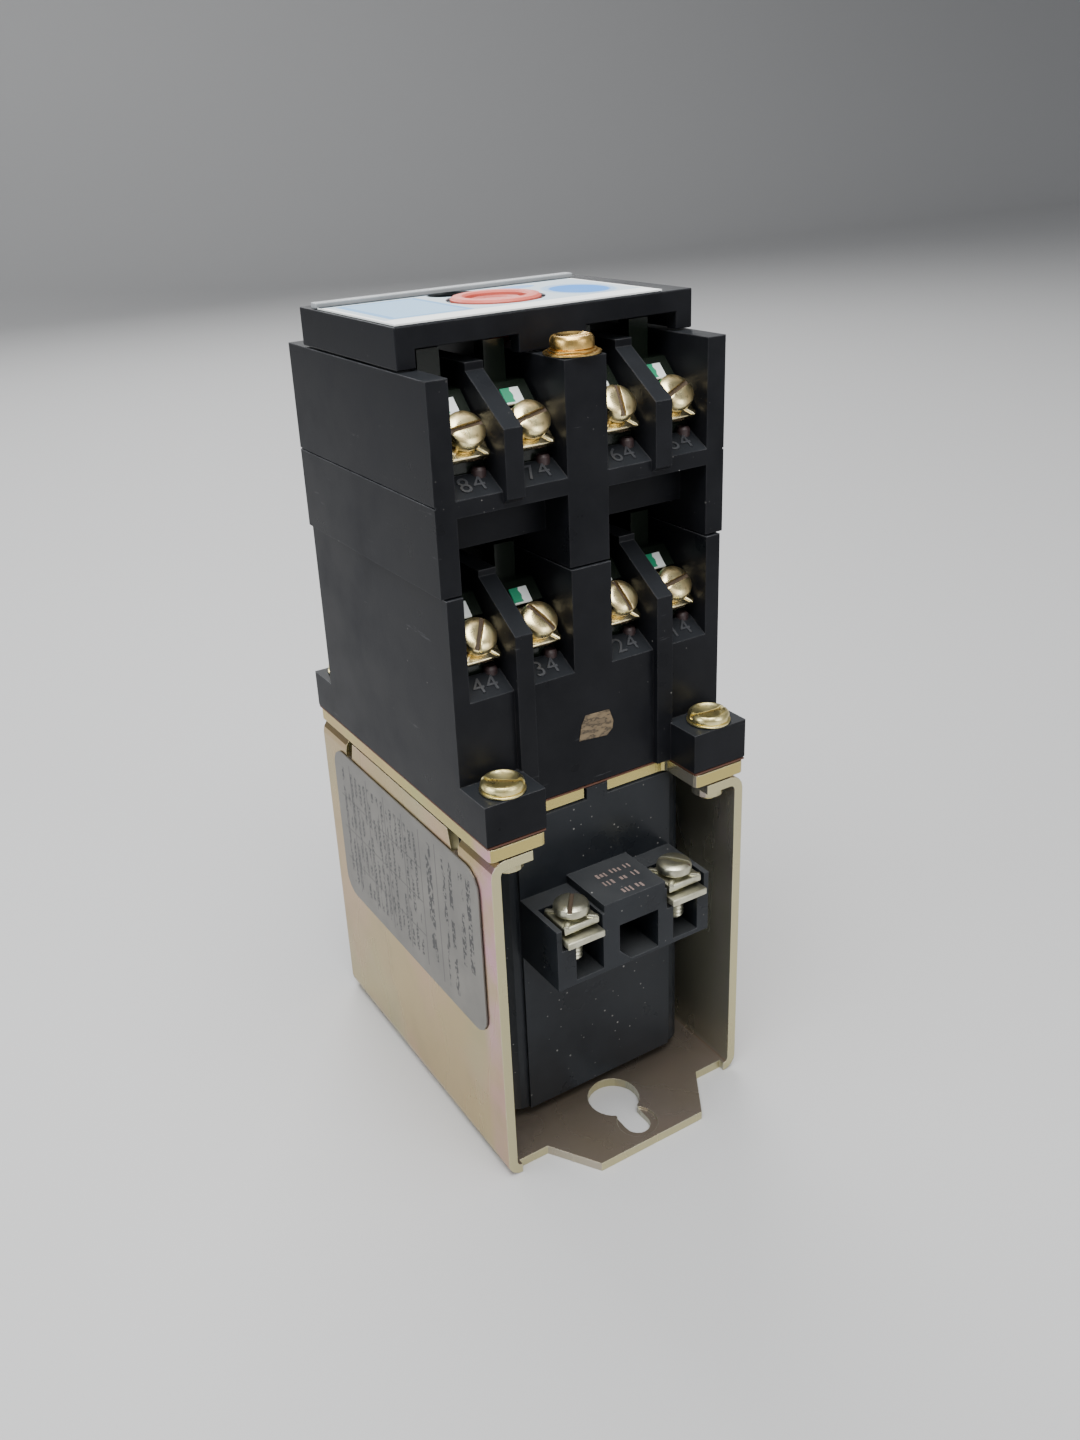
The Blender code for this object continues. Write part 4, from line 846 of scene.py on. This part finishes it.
def add_contact_posts():
    """The short rivet of a fixed contact, in the gap between a shelf and its clamp."""
    mesh = take_mesh(turned("post", [(0, 2.3), (0.9, 2.2), (1.2, 1.8), (1.2, 0.0), (0, 0.0)], 20, POST_METAL))
    mesh.shade_smooth()
    mesh.set_sharp_from_angle(angle=SHARP)
    for deck, lift, bay, x, end, word in bay_ends():
        place = (x + POST_SHIFT, end * POST_Y, POST_Z + lift)
        stand_in(f"post_{deck}{bay}_{word}", mesh, None, place)


def add_block_print():
    """Greeked print on the raised middle of the coil block: short bars that can't be read."""
    rows = (
        (-28.6, (-2.6, -1.8, -1.0, 0.4, 1.2, 2.0, 3.3, 4.1)),
        (-31.2, (-2.8, -2.0, -1.2, 0.6, 1.4, 3.2, 4.0)),
        (-34.6, (-1.3, -0.5, 0.3, 1.6, 2.4)),
    )
    marks = []
    for y, places in rows:
        for x in places:
            low = (x, y - random.uniform(0.4, 0.8), BLOCK_TOP - 0.01)
            high = (x + random.uniform(0.25, 0.5), y + random.uniform(0.4, 0.8), BLOCK_TOP + 0.02)
            marks.append(block("mark", low, high, PRINT))
    stand_in("block_print", fuse("block_print", *marks), None, (0, 0, 0))


def add_dab():
    """A dab of dried compound on deck A's lower front panel."""
    outline = [(-3.3, 77.5), (2.3, 77.0), (3.5, 78.0), (3.7, 79.4), (2.9, 81.7), (-1.9, 81.9), (-2.7, 80.4)]
    dab = rounded_edges(prism("dab", outline, "Y", PANEL_FACE - 0.12, PANEL_FACE + 0.02, DAB), 0.05, 1)
    stand_in("compound_dab", take_mesh(dab), None, (0, 0, 0))


def add_deck_seams():
    """Strips set back in the joint between the decks' side walls, so that no light comes through."""
    for side, word in LEFT_AND_RIGHT:
        low, high = sorted(side * x for x in SEAM_X)
        low_corner, high_corner = (low, -SEAM_HALF_DEPTH, SEAM_Z[0]), (high, SEAM_HALF_DEPTH, SEAM_Z[1])
        strip = block("deck_seam_strip", low_corner, high_corner, DECK_BLACK)
        stand_in("deck_seam_" + word, take_mesh(strip), None, (0, 0, 0))


def add_spring():
    """The return spring, copied to a mesh of its own in its CAD solid's stead; the real one shortens as the
    armature pulls in.
    """
    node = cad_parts["return_spring"]
    mesh = node.data.copy()
    mesh.transform(node.matrix_world)
    spring = stand_in("return_spring_coil", mesh, "return_spring", (0, 0, 0))
    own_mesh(spring)


add_hardware()
add_spring()
add_deck_seams()
add_flags()
add_numerals()
add_contact_posts()
add_block_print()
add_dab()


# ---- Floor, light and camera -------------------------------------------------------------------------

CAMERA_PLACE = (-105.8, -180.7, 172.1)
CAMERA_TURN = (29.7, 23.46, -3.15)      # azimuth, elevation and roll, in degrees


def add_floor():
    """A plain pale floor that rises into a backdrop."""
    shader = Shader("floor", (0.50, 0.50, 0.50), 0.55)
    shape = bmesh.new()
    half = 2.5
    bend = 0.35
    back = 1.3
    line = [(-1.6, 0.0)]
    for step in range(13):
        turn = math.pi / 2 * step / 12
        line.append((back + bend * math.sin(turn), bend * (1 - math.cos(turn))))
    line.append((back + bend, 2.6))
    rows = [[shape.verts.new((x, y, z)) for y, z in line] for x in (-half, half)]
    for step in range(len(line) - 1):
        shape.faces.new((rows[0][step], rows[1][step], rows[1][step + 1], rows[0][step + 1]))
    mesh = bpy.data.meshes.new("floor")
    shape.to_mesh(mesh)
    shape.free()
    floor = new_object("floor", mesh, shader.material)
    floor.data.shade_smooth()


def add_light(name, place, target, size, power, colour=(1, 1, 1)):
    """A square soft light that points at a target."""
    lamp = bpy.data.lights.new(name, "AREA")
    lamp.shape = "RECTANGLE"
    lamp.size, lamp.size_y = size
    lamp.energy = power
    lamp.color = colour
    made = bpy.data.objects.new(name, lamp)
    bpy.context.scene.collection.objects.link(made)
    made.location = place
    made.rotation_euler = (Vector(target) - Vector(place)).to_track_quat("-Z", "Y").to_euler()


def add_world():
    """Even pale surroundings."""
    world = bpy.data.worlds.new("studio")
    bpy.context.scene.world = world
    world.use_nodes = True
    sky = world.node_tree.nodes["Background"]
    sky.inputs["Color"].default_value = (0.80, 0.82, 0.86, 1.0)
    sky.inputs["Strength"].default_value = 0.30


def add_camera():
    """A phone camera held front left and above, turned a little about its own axis."""
    azimuth, elevation, roll = (math.radians(angle) for angle in CAMERA_TURN)
    ahead = Vector((math.sin(azimuth) * math.cos(elevation), math.cos(azimuth) * math.cos(elevation),
                    -math.sin(elevation)))
    right = ahead.cross(Vector((0, 0, 1))).normalized()
    up = right.cross(ahead)
    rolled_right = right * math.cos(roll) + up * math.sin(roll)
    rolled_up = up * math.cos(roll) - right * math.sin(roll)
    lens = bpy.data.cameras.new("camera")
    lens.sensor_width = 36.0
    lens.lens = 31.02
    lens.shift_x = 0.026
    lens.shift_y = -0.0358
    lens.clip_start, lens.clip_end = 0.01, 20.0
    camera = bpy.data.objects.new("camera", lens)
    bpy.context.scene.collection.objects.link(camera)
    turn = Matrix((rolled_right, rolled_up, -ahead)).transposed().to_4x4()
    camera.matrix_world = Matrix.Translation(Vector(CAMERA_PLACE) * MM) @ turn
    bpy.context.scene.camera = camera


add_floor()
add_world()
add_light("key", (-0.15, -0.25, 1.0), (0, 0, 0.07), (0.8, 0.8), 18.0)
add_light("left_fill", (-0.95, 0.10, 0.36), (0, 0, 0.04), (0.7, 0.5), 5.3, (0.92, 0.96, 1.0))
add_light("front_fill", (0.35, -0.95, 0.45), (0, 0, 0.07), (0.5, 0.5), 3.0)
add_light("back", (0.25, 0.9, 0.75), (0, 0, 0.12), (0.9, 0.4), 10.0)
add_camera()
